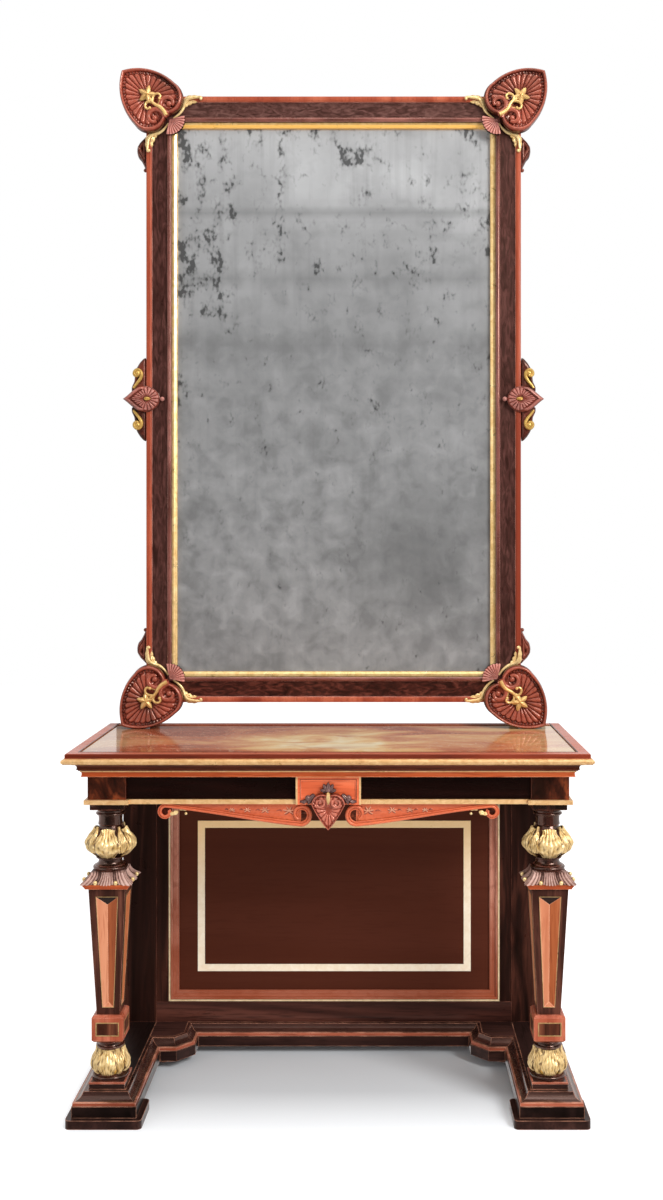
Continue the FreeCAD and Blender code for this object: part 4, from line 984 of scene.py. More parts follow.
frame_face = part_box("mirror_stiles")[0].y / MM
glass_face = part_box("mirror_glass")[0].y / MM
band = outline([(0, 0), (15, 0), (15, 5), (13, 6.4, 1.9), (3, 7.8, 1.3), (0, 4.5)], 8)
piece("mirror_band", [framed("mirror_red_band", frame_face, band)], redwood_band, "redwood",
      "mirror_red_band")
bead = outline([(0, 0), (11.6, 0), (11.6, 3.6), (10, 4.6, 2.8), (1.6, 4.6), (0, 3.6)], 9)
piece("mirror_inner_bead", [framed("mirror_bead", frame_face, bead)], frame_bead, "salmon_veneer",
      "mirror_bead")
slip = outline([(0, 0), (16, 0), (16, 8, 0.8), (14.6, 10.6), (14.2, 10.8, 0.35), (3.4, 16.2), (3.4, 14),
                (0, 14)], 9)
piece("mirror_slip", [framed("mirror_gilt_slip", glass_face, slip)], gilt_slip, "gilt", "mirror_gilt_slip")
quirk = [(15, 0), (16.4, 0), (16.4, 1.6), (15, 1.6)]
piece("mirror_band_line", [framed("mirror_red_band", frame_face, quirk)], frame_bead, "rosewood")

# %% [markdown]
# ## Moulding round the back panel
# The panel in the table's back is held by a salmon moulding with a hollow in its middle, and a thin gilt bead
# runs outside it. Both are swept round the panel like the frame of the mirror.

# %% panel moulding
panel_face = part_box("panel_moulding")[1].y / MM
hollow_section = outline([(5, 0), (29, 0), (29, 4.5), (27, 7, 0.9), (23.5, 7), (22, 7.6, -3), (11, 14.6),
                          (10, 14.6, 1.4), (6, 14.6), (5, 11)], 7)
piece("panel_moulding_hollow", [framed("panel_moulding", panel_face, hollow_section)], salmon_moulding,
      "salmon_veneer", "panel_moulding")
bead_section = outline([(0.2, 0), (5.6, 0), (5.6, 13), (5, 15, 0.9), (0.8, 15), (0.2, 13)], 5)
piece("panel_gilt_bead", [framed("panel_moulding", panel_face, bead_section)], gilt_bead, "gilt")

# %% [markdown]
# ## Front legs: blocks and turnings
# Each leg is a stack of short parts on a hidden rod: square blocks and turned rings between carved bulbs.
# They are built at the origin about the leg's own axis and then set in place, with a mirrored copy.

# %% plinths and base rings
rod_low, rod_high = (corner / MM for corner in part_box("leg_tie_rods"))
rod_radius = (rod_high.y - rod_low.y) / 2
LEG = Matrix.Translation((rod_high.x - rod_radius, rod_low.y + rod_radius, 0))
LEVEL = {name: tuple(corner.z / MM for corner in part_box(name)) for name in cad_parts}
PLINTH_HALF = 45


def leg_pair(patches):
    """Patches set on the right leg, and mirrored on the left."""
    return both(at_each([LEG], patches))


def flat_square(half, level):
    """The corners of a level square about the upright axis."""
    return [(x * half, y * half, level) for x, y in ((-1, -1), (1, -1), (1, 1), (-1, 1))]


foot, head = LEVEL["leg_plinths"]
plinth = squared([(44.2, foot), (44.6, head - 4), (43.6, head - 0.6), (42, head)])
piece("leg_plinth_blocks", leg_pair([plinth]), rosewood_polish, "rosewood", "leg_plinths")
rim_edge = outline([(0, -4), (4.2, -4), (4.2, 0.4), (1.2, 0.4, 0.5), (0, -0.8)], 5)
plinth_rim = moulding(flat_square(PLINTH_HALF, head), rim_edge, UP, True)
piece("leg_plinth_edges", leg_pair([plinth_rim]), redwood_base, "redwood")
foot, head = LEVEL["leg_base_rings"]
ring = outline([(38, foot), (43, foot), (43, foot + 2), (41, foot + 2.2, 4), (41, head - 2.6),
                (38, head - 2.4), (38, head)], 9, False)
piece("leg_base_rings_turned", leg_pair([turned(ring)]), rosewood_turned, "rosewood", "leg_base_rings")

# %% necks, rings and vases
foot, head = LEVEL["leg_lower_necks"]
neck = outline([(33, foot), (34, foot + 3, 1.4), (34, foot + 6), (30, foot + 6.6, -2.4), (32, head - 5),
                (35, head - 5, 1.4), (35, head - 1), (33, head)], 7, False)
piece("leg_lower_necks_turned", leg_pair([turned(neck)]), rosewood_turned, "rosewood", "leg_lower_necks")
foot, head = LEVEL["leg_upper_rings"]
ring = outline([(38, foot), (38, foot + 2), (39, foot + 2.4, 4), (39, foot + 11), (36, foot + 11.6),
                (36, foot + 13.5, -4), (31, head - 4), (34, head - 4, 1.4), (34, head)], 9, False)
piece("leg_upper_rings_turned", leg_pair([turned(ring)]), rosewood_turned, "rosewood", "leg_upper_rings")
foot, head = LEVEL["leg_vases"]
vase = outline([(30.5, foot), (30.5, foot + 2, -1.2), (30.5, head - 34), (33, head - 33.4),
                (34, head - 32.6, 2.2), (34, head - 27), (31.5, head - 26.4), (31.5, head - 25, -2.6),
                (40, head - 18), (40, head - 16)], 9, False)
cap = squared([(41.6, head - 16), (43, head - 14.6), (43, head - 1), (42.4, head)])
piece("leg_vases_turned", leg_pair([turned(vase), cap]), rosewood_turned, "rosewood", "leg_vases")

# %% [markdown]
# ## Dies
# Above the lower bulb sits a red die with a dark tablet let into each side. The tablet has a gilt border. On
# the real die that is a strip of gilt wood, so it is a thin raised frame here.

# %% dies
QUARTERS = [Matrix.Rotation(math.radians(90 * number), 4, "Z") for number in range(4)]
DIE_HALF, TABLET_HALF, BORDER = 39.5, 29, 2.2
die_foot, die_head = LEVEL["leg_dies"]
tablet_foot, tablet_head = LEVEL["die_tablets"]


def on_all_sides(patch):
    """A patch of a leg's front on all four sides of both legs."""
    return leg_pair(at_each(QUARTERS, [patch]))


die = squared([(34.5, die_foot), (39.3, die_foot + 5), (39.3, die_head - 5), (34.5, die_head)])
piece("leg_die_blocks", leg_pair([die]), redwood_die, "redwood", "leg_dies")
bed = upright_loop(TABLET_HALF, tablet_foot, tablet_head, -DIE_HALF + 0.2)
border = moulding(bed, bar(0, 2.4, -2, 0.4), FRONT, True)
inner = upright_loop(TABLET_HALF - BORDER, tablet_foot + BORDER, tablet_head - BORDER, -DIE_HALF)
field = skin(np.array([np.add(inner, (0, sink, 0)) for sink in (3, 0.1)]))
piece("die_tablet_fields", on_all_sides(field), rosewood_tablet, "rosewood", "die_tablets")
piece("die_tablet_borders", on_all_sides(border), gilt_slip, "gilt")

# %% [markdown]
# ## Pillars
# The pillar on the die widens upwards. Each side has a sunk panel whose floor is folded like a roof turned
# over: two salmon slopes along its length, one painted lit and one painted in shade, and two short ends, the
# lower one painted lit and the upper one painted black for its shade. The folds are flat veneers, so the shaft
# is made with hollow sides and the veneers are thin plates over them.

# %% pillar panels
pillar_foot, pillar_head = LEVEL["leg_pillar_left"]
panel_foot, panel_head = LEVEL["pillar_facets"]
FOOT_HALF, HEAD_HALF = 28.5, 45.5
PANEL_FOOT_HALF, PANEL_HEAD_HALF = 13.5, 26.5
PANEL_SINK, FOOT_FOLD, HEAD_FOLD = 9.0, 12, 21


def face_half(height):
    return FOOT_HALF + (HEAD_HALF - FOOT_HALF) * (height - pillar_foot) / (pillar_head - pillar_foot)


def on_face(x, height, sink=0.0):
    return (x, -face_half(height) + sink, height)


corners = [on_face(-PANEL_FOOT_HALF, panel_foot), on_face(PANEL_FOOT_HALF, panel_foot),
           on_face(PANEL_HEAD_HALF, panel_head), on_face(-PANEL_HEAD_HALF, panel_head)]
fold_head = on_face(0, panel_head - HEAD_FOLD, PANEL_SINK)
slope = np.cross(np.subtract(corners[3], corners[0]), np.subtract(fold_head, corners[0]))
fold_level = panel_foot + FOOT_FOLD
from_corner = slope[0] * corners[0][0] - slope[2] * (fold_level - corners[0][2])
fold_foot = (0, corners[0][1] + from_corner / slope[1], fold_level)
print("folds sunk to", fold_foot, "and", fold_head)

# %% pillar shafts
outer = [on_face(-face_half(pillar_foot), pillar_foot), on_face(face_half(pillar_foot), pillar_foot),
         on_face(face_half(pillar_head), pillar_head), on_face(-face_half(pillar_head), pillar_head)]
side_points = np.array(outer + corners + [fold_foot, fold_head])
side_points[8:, 1] += 1.0
side_faces = [[0, 1, 5, 4], [1, 2, 6, 5], [2, 3, 7, 6], [3, 0, 4, 7], [4, 5, 8], [5, 6, 9, 8], [6, 7, 9],
              [7, 4, 8, 9]]
shafts = at_each(QUARTERS, [Patch(side_points, side_faces)])
for half, level in ((FOOT_HALF, pillar_foot), (HEAD_HALF, pillar_head)):
    shafts.append(Patch(flat_square(half, level), [[0, 1, 2, 3]]))
piece("leg_pillar_shafts", leg_pair(shafts), rosewood_upright, "rosewood", "leg_pillar_left",
      "leg_pillar_right")

# %% veneers of the pillars
VENEER = 0.6


def plate(points):
    """A thin flat veneer behind the given corners."""
    points = np.array(points, float)
    normal = np.cross(points[1] - points[0], points[2] - points[0])
    normal /= np.linalg.norm(normal)
    return skin(np.array([points - normal * VENEER, points + normal * 0.25]))


def round_both_legs(patch):
    """A patch of the right leg's front on all four sides of both legs, not mirrored."""
    about = [LEG @ turn @ LEG.inverted() for turn in QUARTERS]
    other_leg = Matrix.Translation((-2 * LEG.translation.x, 0, 0))
    return [patch.moved(place @ turn) for place in (Matrix.Identity(4), other_leg) for turn in about]


left_slope = plate([corners[0], fold_foot, fold_head, corners[3]]).moved(LEG)
right_slope = plate([fold_foot, corners[1], corners[2], fold_head]).moved(LEG)
# One slope of each panel is painted lit and the other painted in shade.
piece("pillar_painted_lit_slopes", round_both_legs(left_slope), salmon_painted_lit, "salmon_veneer", "pillar_facets")
piece("pillar_painted_shade_slopes", round_both_legs(right_slope), salmon_painted_shade, "salmon_veneer")
# The lower ends are painted lit, and the upper ends black, as painted shade.
piece("pillar_foot_ends", on_all_sides(plate([corners[0], corners[1], fold_foot])), salmon_painted_lit,
      "salmon_veneer")
piece("pillar_head_ends_painted_shade", on_all_sides(plate([fold_head, corners[2], corners[3]])), panel_black, "rosewood")
slant = np.array(on_face(0, pillar_head)) - np.array(on_face(0, pillar_foot))
out_of_face = np.cross((1, 0, 0), slant)
out_of_face /= np.linalg.norm(out_of_face)
stringing = moulding(corners, bar(-1.0, 1.2, -0.5, 0.5), out_of_face, True)
piece("pillar_gilt_lines", on_all_sides(stringing), gilt_slip, "gilt")

# %% [markdown]
# ## Carved bulbs
# The gilt bulbs are wrapped in acanthus leaves. Each leaf is a curved slab that follows the bulb's profile,
# pleated like cloth, with a rib, a notched edge and a tip that curls out. Real leaves of this kind are carved
# from the solid, but separate slabs give the deep shadows between them.

# %% acanthus leaf
LEAF_THICK = 3.0


def wrapped_leaf(profile, levels, start, spread, pleats, stand, curl=0.0, rows=30, columns=41, tip=0.25,
                 crown=0.0):
    """A leaf up a turned body. profile gives the body's radii along it, spread half its width in degrees."""
    up = np.linspace(0, 1, rows)[:, None]
    side = np.linspace(-1, 1, columns)[None, :]
    width = 0.72 + 0.28 * np.sin(math.pi * np.clip(up * 1.25, 0, 1))
    width = width * (1 - (1 - tip) * smooth((up - 0.55) / 0.45))
    width = width * (1 - 0.12 * np.abs(np.sin(math.pi * 4 * up)))
    angle = math.radians(start) + side * width * math.radians(spread)
    fold = np.abs(np.cos(math.pi * side * pleats / 2))
    rib = np.exp(-(side / 0.13) ** 2)
    tuck = np.abs(side) ** 5
    lobe = np.abs(np.cos(math.pi * (2.6 * up - 1.1 * np.abs(side))))
    lift = stand * (0.2 + 0.42 * fold + 0.45 * lobe + 0.4 * rib * (1 - up) - 0.7 * tuck)
    bend = curl * smooth((up - 0.72) / 0.28)
    reach = np.interp(up, np.linspace(0, 1, len(profile)), profile) + lift + bend
    scallop = crown * up ** 3 * (side ** 2 + 0.3 * (1 - fold))
    rise = levels[1] - levels[0]
    height = levels[0] + rise * up - math.copysign(1, rise) * scallop - 0.3 * bend * (1 - side ** 2)
    top = np.stack([reach * np.cos(angle), reach * np.sin(angle), height], 2)
    inner = reach - LEAF_THICK
    bottom = np.stack([inner * np.cos(angle), inner * np.sin(angle), height], 2)
    mark = 0.02 + 0.5 * fold + 0.42 * lobe + 0.3 * rib - 0.7 * tuck + 0.3 * smooth((up - 0.8) / 0.2)
    return slab(top, bottom, np.clip(mark, 0, 1))


def four_leaves(profile, levels, first, **form):
    """The same leaf on four sides, the first one at an angle in degrees."""
    return [wrapped_leaf(profile, levels, first + 90 * number, **form) for number in range(4)]


print("acanthus leaf ready")

# %% [markdown]
# The upper bulb is squat: four broad leaves lie on a dark turned core, and four thin leaves between them show
# only their tips. The lower bulb hangs the other way up and is closed, so its core is gilt.

# %% bulbs
foot, head = LEVEL["leg_upper_bulbs"]
upper = np.array([33, 44, 52, 57, 59.5, 59, 55.5, 49.5, 43, 37, 33])
core = turned(np.stack([upper - 7, np.linspace(foot, head, len(upper))], 1))
leaves = four_leaves(upper - 1.5, (foot + 1, head - 5), -90, spread=43, pleats=7, stand=6.0, curl=3, tip=1.05,
                     crown=7)
leaves += four_leaves(upper[2:] - 3, (foot + 14, head - 1), -45, spread=15, pleats=5, stand=4.0, curl=6,
                      rows=22, columns=21, tip=0.4, crown=3)
piece("upper_bulb_leaves", leg_pair(leaves), gilt_carved, "gilt", "leg_upper_bulbs")
piece("upper_bulb_cores", leg_pair([core]), rosewood_turned, "rosewood")
foot, head = LEVEL["leg_lower_bulbs"]
lower = np.array([37, 43.5, 46, 46.5, 45.5, 43, 39.5, 36, 33, 32])
core = turned(np.stack([lower - 5, np.linspace(foot, head, len(lower))], 1))
leaves = four_leaves(lower[::-1] - 0.5, (head - 1, foot + 0.5), -90, spread=42, pleats=7, stand=3.8, curl=0.8,
                     tip=0.9, crown=3)
leaves += four_leaves(lower[::-1] - 2.5, (head, foot + 1), -45, spread=20, pleats=5, stand=3.4, curl=2,
                      rows=22, columns=21, tip=0.8, crown=2)
piece("lower_bulb_leaves", leg_pair(leaves), gilt_carved, "gilt", "leg_lower_bulbs")
piece("lower_bulb_cores", leg_pair([core]), gilt_slip, "gilt")

# %% [markdown]
# ## Leaf caps
# The pillar's cap is a square flare of leaves, one on each corner and one in the middle of each side, with
# fine veins, scalloped tips and a gilt bud in each gap. It is one skin of square rings, pushed in and out.

# %% leaf caps
cap_foot, cap_head = LEVEL["leaf_caps"]
LIP_HALF, CAP_HEAD_HALF, FILLET_HEIGHT = 66.0, 42.0, 13.0
LEAVES, VEINS = 8, 7
around = np.linspace(0, 1, 512, endpoint=False)
turn = 2 * math.pi * around
squareness = 1 / np.maximum(np.abs(np.cos(turn)), np.abs(np.sin(turn)))
squareness = 1 + (squareness - 1) * 0.96
phase = (LEAVES * around + 0.5) % 1
gap = np.abs(2 * phase - 1) ** 3
vein = np.cos(2 * math.pi * VEINS * phase)
rings, marks = [], []
for step in np.linspace(0, 1, 16):
    flare = CAP_HEAD_HALF + (LIP_HALF - CAP_HEAD_HALF) * step ** 1.7
    size = flare - gap * 8 * step ** 1.3 + vein * (0.4 + 1.2 * step) - 1.6 * step
    level = cap_head - (cap_head - cap_foot - FILLET_HEIGHT) * step + (gap * 7 - vein * 0.8) * step ** 3
    rings.append(np.stack([size * squareness * np.cos(turn), size * squareness * np.sin(turn), level], 1))
    marks.append(np.clip(0.5 + 0.36 * vein - 0.75 * gap + 0.15 * step, 0, 1))
# The rings under the lip are marked low, so the underside gets painted shade.
for drop, shrink in ((0.6, 2.5), (-1.6, 5.0), (-2.0, 12.0)):
    under_lip = rings[15].copy()
    under_lip[:, :2] *= (LIP_HALF - shrink) / LIP_HALF
    under_lip[:, 2] -= drop
    rings.append(under_lip)
    marks.append(np.full(len(around), 0.15))
cap_leaves = skin(np.array(rings[::-1]), np.array(marks[::-1]))
piece("leaf_cap_carving", leg_pair([cap_leaves]), leaf_carved, "leaf_wood", "leaf_caps")

# %% fillets and buds of the caps
fillet = squared([(45.6, cap_foot), (53, cap_foot + 0.4), (53.6, cap_foot + 3), (58.4, cap_foot + 10),
                  (58.4, cap_foot + 12.6)])
piece("leaf_cap_fillets", leg_pair([fillet]), redwood_fillet, "redwood")
BUD_OUT, BUD_RADIUS = 60.5, 5.0
buds = []
for number in range(LEAVES):
    angle = math.radians(45 * number + 22.5)
    reach = BUD_OUT / max(abs(math.cos(angle)), abs(math.sin(angle)))
    bud_place = (reach * math.cos(angle), reach * math.sin(angle), cap_foot + FILLET_HEIGHT + 5)
    buds.append(ball(bud_place, BUD_RADIUS, 1.1))
piece("leaf_cap_buds", leg_pair(buds), gilt_carved, "gilt")

# %% [markdown]
# ## Shells
# The corner shells and the heart under the frieze are one form in two sizes: a heart-shaped shell with a
# round rim, flutes that spread from one point, and two volutes with a boss where the rim rolls in at the
# cleft. So one function carves both, from the point where the flutes meet.

# %% shell form
def shell(length, half, shoulder, lobe, flank, focus, flutes, rim, depth, eye, curl):
    """A shell with its cleft at the origin and its tip along the first axis: its body and its volutes."""
    loop = outline([(0, 0, lobe), (shoulder, -half, flank), (length, 0, flank), (shoulder, half, lobe)], 48)
    edge = 1 - rim / (length - focus)

    def height(step, around, flat):
        phase = (flutes * around) % 1
        end = edge - 0.05 - 0.05 * (2 * phase - 1) ** 2
        rib = np.sqrt(hump(phase)) * smooth((step - 0.12) / 0.4) * smooth((end - step) / 0.05)
        away = np.hypot(flat[:, :, 0] - eye[0], np.abs(flat[:, :, 1]) - eye[1])
        hollow = smooth((0.8 * curl[0] - away) / (0.55 * curl[0]))
        beaded = (step > edge - 0.05) & (step < edge)
        bead = np.where(beaded, np.abs(np.sin(math.pi * 2 * flutes * around)), 0)
        dish = depth * (0.4 + 0.22 * step ** 2 + 0.24 * rib + 0.1 * bead) * (1 - 0.4 * hollow)
        roll = hump(step, (1 + edge) / 2, (1 - edge) / 2)
        lift = np.where(step >= edge, depth * (0.42 + 0.58 * np.sqrt(roll)), dish)
        mark = np.where(step >= edge, 0.16 + 0.7 * roll, (0.34 + 0.5 * rib) * (1 - 0.4 * hollow))
        return lift + 0 * around, np.where(beaded, 0.12 + 0.4 * bead, mark) + 0 * around

    inner = np.linspace(0.03, edge - 0.06, 26)
    outer = edge + (1 - edge) * (0.5 - 0.5 * np.cos(np.linspace(0, math.pi, 11)))
    steps = np.concatenate([inner, [edge - 0.048, edge - 0.03, edge - 0.014, edge - 0.002], outer])
    body = carved_disc(even(loop, 400), (focus, 0.0), steps, height)
    turns = lifted(spiral(eye, *curl, 44), np.linspace(depth * 0.72, depth * 0.55, 44))
    rolled = tube(turns, np.linspace(rim * 0.6, rim * 0.36, 44), 12)
    bosses = [ball((eye[0], way * eye[1], depth * 0.5), 0.9 * curl[1], 0.9) for way in (1, -1)]
    return body, [rolled, rolled.mirrored((1, -1, 1))] + bosses


print("shell form ready")

# %% [markdown]
# Small leaves are needed in many places. One kind follows a line and has a ridge on each side of its rib, and
# another is a star like an ivy leaf. Flat cut-outs would catch no light, so both rise towards the middle.

# %% small leaves
def leaf_blade(points, width, thick, lift, lobes=0, rows=20, columns=13):
    """A small leaf along a line of flat points, lobed along its edges and ridged in the middle."""
    points = np.asarray(points, float)
    places = np.linspace(0, 1, len(points))
    steps = np.linspace(0, 1, rows)
    spine = np.stack([np.interp(steps, places, points[:, axis]) for axis in (0, 1)], 1)
    way = np.gradient(spine, axis=0)
    way /= np.linalg.norm(way, axis=1)[:, None]
    aside = np.stack([-way[:, 1], way[:, 0]], 1)
    body = np.sqrt(np.clip(np.sin(math.pi * steps ** 0.8), 0.004, 1))
    if lobes:
        body = body * (0.66 + 0.34 * np.abs(np.sin(math.pi * lobes * steps)))
    side = np.linspace(-1, 1, columns)
    flat = spine[:, None] + aside[:, None] * (side[None, :] * body[:, None] * width)[:, :, None]
    rib = np.exp(-(side[None, :] / 0.16) ** 2)
    crown = lift + thick * (1 - 0.75 * side[None, :] ** 2) * (0.4 + 0.6 * body[:, None]) - 0.28 * thick * rib
    top = np.concatenate([flat, crown[:, :, None]], 2)
    bottom = np.concatenate([flat, np.full(crown.shape + (1,), lift)], 2)
    mark = np.clip(1.0 - 0.75 * side[None, :] ** 2 - 0.35 * rib + 0 * body[:, None], 0, 1)
    return slab(top, bottom, mark)


def star_leaf(centre, radius, lobes, lift, thick, turn=0.0):
    """An ivy-like leaf with a rib in each lobe."""
    angle = np.linspace(0, 2 * math.pi, 120, endpoint=False)
    wave = np.abs(2 * (((angle - math.radians(turn)) * lobes / (2 * math.pi)) % 1) - 1)
    reach = radius * (0.5 + 0.5 * wave ** 1.2)
    loop = np.stack([np.cos(angle), np.sin(angle)], 1) * reach[:, None] + np.asarray(centre)

    def height(step, around, flat):
        rib = np.abs(np.cos(lobes / 2 * (2 * math.pi * around - math.radians(turn)))) ** 6
        crown = lift + thick * (0.35 + 0.65 * (1 - step ** 2)) + thick * 0.3 * rib * (1 - step)
        return crown + 0 * around, np.clip(0.35 + 0.5 * rib + 0.3 * (1 - step), 0, 1)

    return carved_disc(loop, centre, np.linspace(0.06, 1, 9), height, lift - 2)


print("small leaves ready")

# %% [markdown]
# ## Corner shells
# Each corner of the mirror has a large shell that points out along the mitre, a gilt spray over its cleft
# and a small fan on the inner corner. All four are the same carving turned to its corner.

# %% corner shells
frame_low, frame_high = (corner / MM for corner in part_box("mirror_red_band"))
shell_front, shell_back = (corner.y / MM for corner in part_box("corner_shells"))
CLEFT_INSET = 57.0
CORNERS = [(1, 1), (-1, 1), (1, -1), (-1, -1)]


def at_corners(inset, depth):
    """The places of a carving whose first axis points out along the mitre of each corner."""
    result = []
    for across, up in CORNERS:
        x = across * (frame_high.x - inset)
        z = frame_high.z - inset if up > 0 else frame_low.z + inset
        result.append(facing_front(x, depth, z, math.degrees(math.atan2(up, across))))
    return result


body, volutes = shell(length=171.8, half=80, shoulder=42, lobe=34, flank=21, focus=72, flutes=26, rim=13.5,
                      depth=shell_back - shell_front, eye=(15, 28), curl=(29, 9, 222, 520))
places = at_corners(CLEFT_INSET, shell_back)
piece("corner_shell_bodies", at_each(places, [body]), redwood_carved, "redwood", "corner_shells")
piece("corner_shell_volutes", at_each(places, volutes), redwood_carved, "redwood")

# %% gilt sprays on the shells
stem = fine_line([(-6, 2), (8, -3), (24, -3), (36, 2), (48, 3), (60, 0)])
stem_radius = sizes_along(36, [0, 0.4, 1], [6.4, 5.2, 3.4])
spray = [tube(lifted(stem, np.linspace(24.5, 23, 36)), stem_radius),
         star_leaf(centre=(74, -2), radius=26, lobes=5, lift=18, thick=8, turn=12)]
for way in (1, -1):
    tendril = fine_line([(48, 3), (57, 8 * way), (59, 18 * way), (52, 27 * way), (43, 26 * way),
                         (41, 19 * way)])
    spray.append(tube(lifted(tendril, np.linspace(21, 24, 36)), np.linspace(4.0, 2.8, 36), 8))
    spray.append(ball((*tendril[-1], 23), 4.6))
spray.append(leaf_blade([(30, -3), (34, -14), (42, -20)], width=5.5, thick=5, lift=19))
piece("corner_shell_sprays", at_each(places, spray), gilt_spray, "gilt", "mirror_gilt_carving")

# %% corner fans
FAN_INSET, FAN_RADIUS, FAN_RIBS, FAN_SPREAD = 66.0, 43.0, 10, 58
fan_front, fan_back = (corner.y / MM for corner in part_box("corner_fans"))
fan_depth = fan_back - fan_front
reach = np.linspace(0.03, 1, 18)[:, None]
angle = np.linspace(-1, 1, 141)[None, :]
phase = (angle * 0.5 + 0.5) * FAN_RIBS % 1
phase[:, -1] = 1.0
arch = np.sqrt(hump(phase))
out_to = FAN_RADIUS * reach * (0.93 + 0.07 * arch)
rib = 0.4 * arch * smooth(reach * 2.2) * (1 - 0.5 * smooth((reach - 0.85) / 0.15))
lift = fan_depth * (0.3 + 0.3 * reach) + fan_depth * rib
spread = math.pi + angle * math.radians(FAN_SPREAD)
top = np.stack([out_to * np.cos(spread), out_to * np.sin(spread), lift + 0 * out_to], 2)
fan = slab(top, top * (1, 1, 0), 0.12 + 0.75 * arch + 0 * reach)
piece("corner_fan_ribs", at_each(at_corners(FAN_INSET, fan_back), [fan]), fan_carved, "redwood",
      "corner_fans")

# %% [markdown]
# ## Leaves beside the shells
# From each lobe a gilt stem follows the shell to the red band, once along the rail and once along the stile,
# and ends in a leaf with a bud. Outside the stile a dark red scroll leaf hugs the frame. Each is drawn once
# in the axes of its corner, and the places of all four corners repeat it.

# %% gilt corner leaves
def beside(along_rail, depth):
    """The places of a carving that starts at each corner: first axis along the frame, second into it."""
    result = []
    for across, up in CORNERS:
        first, second = (-across, 0), (0, -up)
        if not along_rail:
            first, second = second, first
        x = across * frame_high.x
        z = frame_high.z if up > 0 else frame_low.z
        result.append(Matrix(((first[0], second[0], 0, x), (0, 0, -1, depth), (first[1], second[1], 0, z),
                              (0, 0, 0, 1))))
    return result


line = fine_line([(76, 62), (88, 54), (98, 43), (104, 31), (107, 19), (113, 10), (124, 6), (138, 5), (151, 3),
                  (157, 7), (152, 11)], 48)
heights = sizes_along(48, [0, 0.3, 0.55, 1], [9, 6, 12, 14])
radii = sizes_along(48, [0, 0.25, 0.5, 0.8, 1], [2.6, 4.4, 5.0, 3.6, 2.6])
runner = [tube(lifted(line, heights), radii), ball((153, 9, 14), 4.4),
          leaf_blade([(104, 30), (113, 20), (128, 14), (142, 15)], width=7.5, thick=6, lift=4, lobes=3),
          leaf_blade([(103, 24), (112, 6), (128, 2), (144, 0)], width=6.5, thick=6, lift=7, lobes=3)]
runner_places = beside(True, frame_face) + beside(False, frame_face)
piece("corner_gilt_leaves", at_each(runner_places, runner), gilt_carved, "gilt")

# %% scroll leaves outside the stiles
scroll_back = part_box("corner_scrolls")[1].y / MM
comma = [(106, -4), (112, -10), (122, -20), (136, -28.6), (150, -29.4), (164, -26), (174, -17), (190, -9),
         (206, -2), (206, 1), (108, 1)]
scroll_loop = even(fine_line(comma + comma[:1], 120)[:-1], 160)


def scroll_height(step, around, flat):
    ridge = hump(step)
    groove = np.exp(-((step - 0.62) / 0.07) ** 2)
    crown = 7 + 15 * np.sqrt(ridge) - 3 * groove
    return crown + 0 * around, np.clip(0.3 + 0.55 * ridge - 0.4 * groove, 0, 1) + 0 * around


scroll = carved_disc(scroll_loop, (140, -14), outward(0.05, 0.95, 18, 0.98), scroll_height)
hook = ball((200, -6, 9), 5.5)
piece("corner_scroll_leaves", at_each(beside(False, scroll_back), [scroll, hook]), scroll_carved, "redwood",
      "corner_scrolls")

# %% [markdown]
# ## Side palmettes
# Halfway up each side a palmette points outwards, with gilt scrolls above and below it and a dark leaf
# behind. It is a drop with a rim round its point and open flutes over the frame, so it has its own relief.

# %% palmette form
palmette_low, palmette_high = (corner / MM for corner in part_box("side_palmettes"))
middle = (palmette_low.z + palmette_high.z) / 2
PALMETTE_BACK, LEAF_BACK, FLUTES = 182, 196, 20
half_drop = fine_line([(63, 0), (50, 10), (38, 21), (22, 33), (0, 37), (-20, 31), (-35, 17), (-40, 0)], 60)
drop = even(np.vstack([half_drop, (half_drop * (1, -1))[-2:0:-1]]), 240)


def palmette_height(step, around, flat):
    outside = smooth((flat[:, :, 0] + 6) / 22)
    reach = 0.95 - 0.25 * outside
    arch = np.sqrt(hump((FLUTES * around) % 1))
    rib = arch * smooth((step - 0.12) / 0.3) * smooth((reach - step) / 0.06)
    rim = outside * smooth((step - 0.74) / 0.06) * (1 - 0.8 * smooth((step - 0.86) / 0.14) ** 2)
    dome = 10 - 5 * (1 - outside) * step ** 2
    return dome * (1 - 0.35 * step ** 6) + 4 * rib + 6 * rim, np.clip(0.22 + 0.55 * rib + 0.5 * rim, 0, 1)


body = carved_disc(drop, (-4, 0), outward(0.04, 0.94, 30, 0.97), palmette_height)
at_palmette = facing_front(frame_high.x, PALMETTE_BACK, middle)
red_side = at_each([at_palmette], [body, ball((-46, 0, 5), 6.5)])
print("palmettes at", middle, "mm up")

# %% leaves and scrolls of the palmettes
leaf_line = [(1, 20), (42, 20), (42, 34), (34, 50), (33, 70), (28, 88), (19, 103), (9, 114), (1, 117.5),
             (1, 20)]
leaf_loop = even(fine_line(leaf_line, 100)[:-1], 160)


def leaf_height(step, around, flat):
    ridge = hump(step, 0.55, 0.45)
    return 3 + 9 * np.sqrt(ridge) + 0 * around, np.clip(0.08 + 0.4 * ridge, 0, 1) + 0 * around


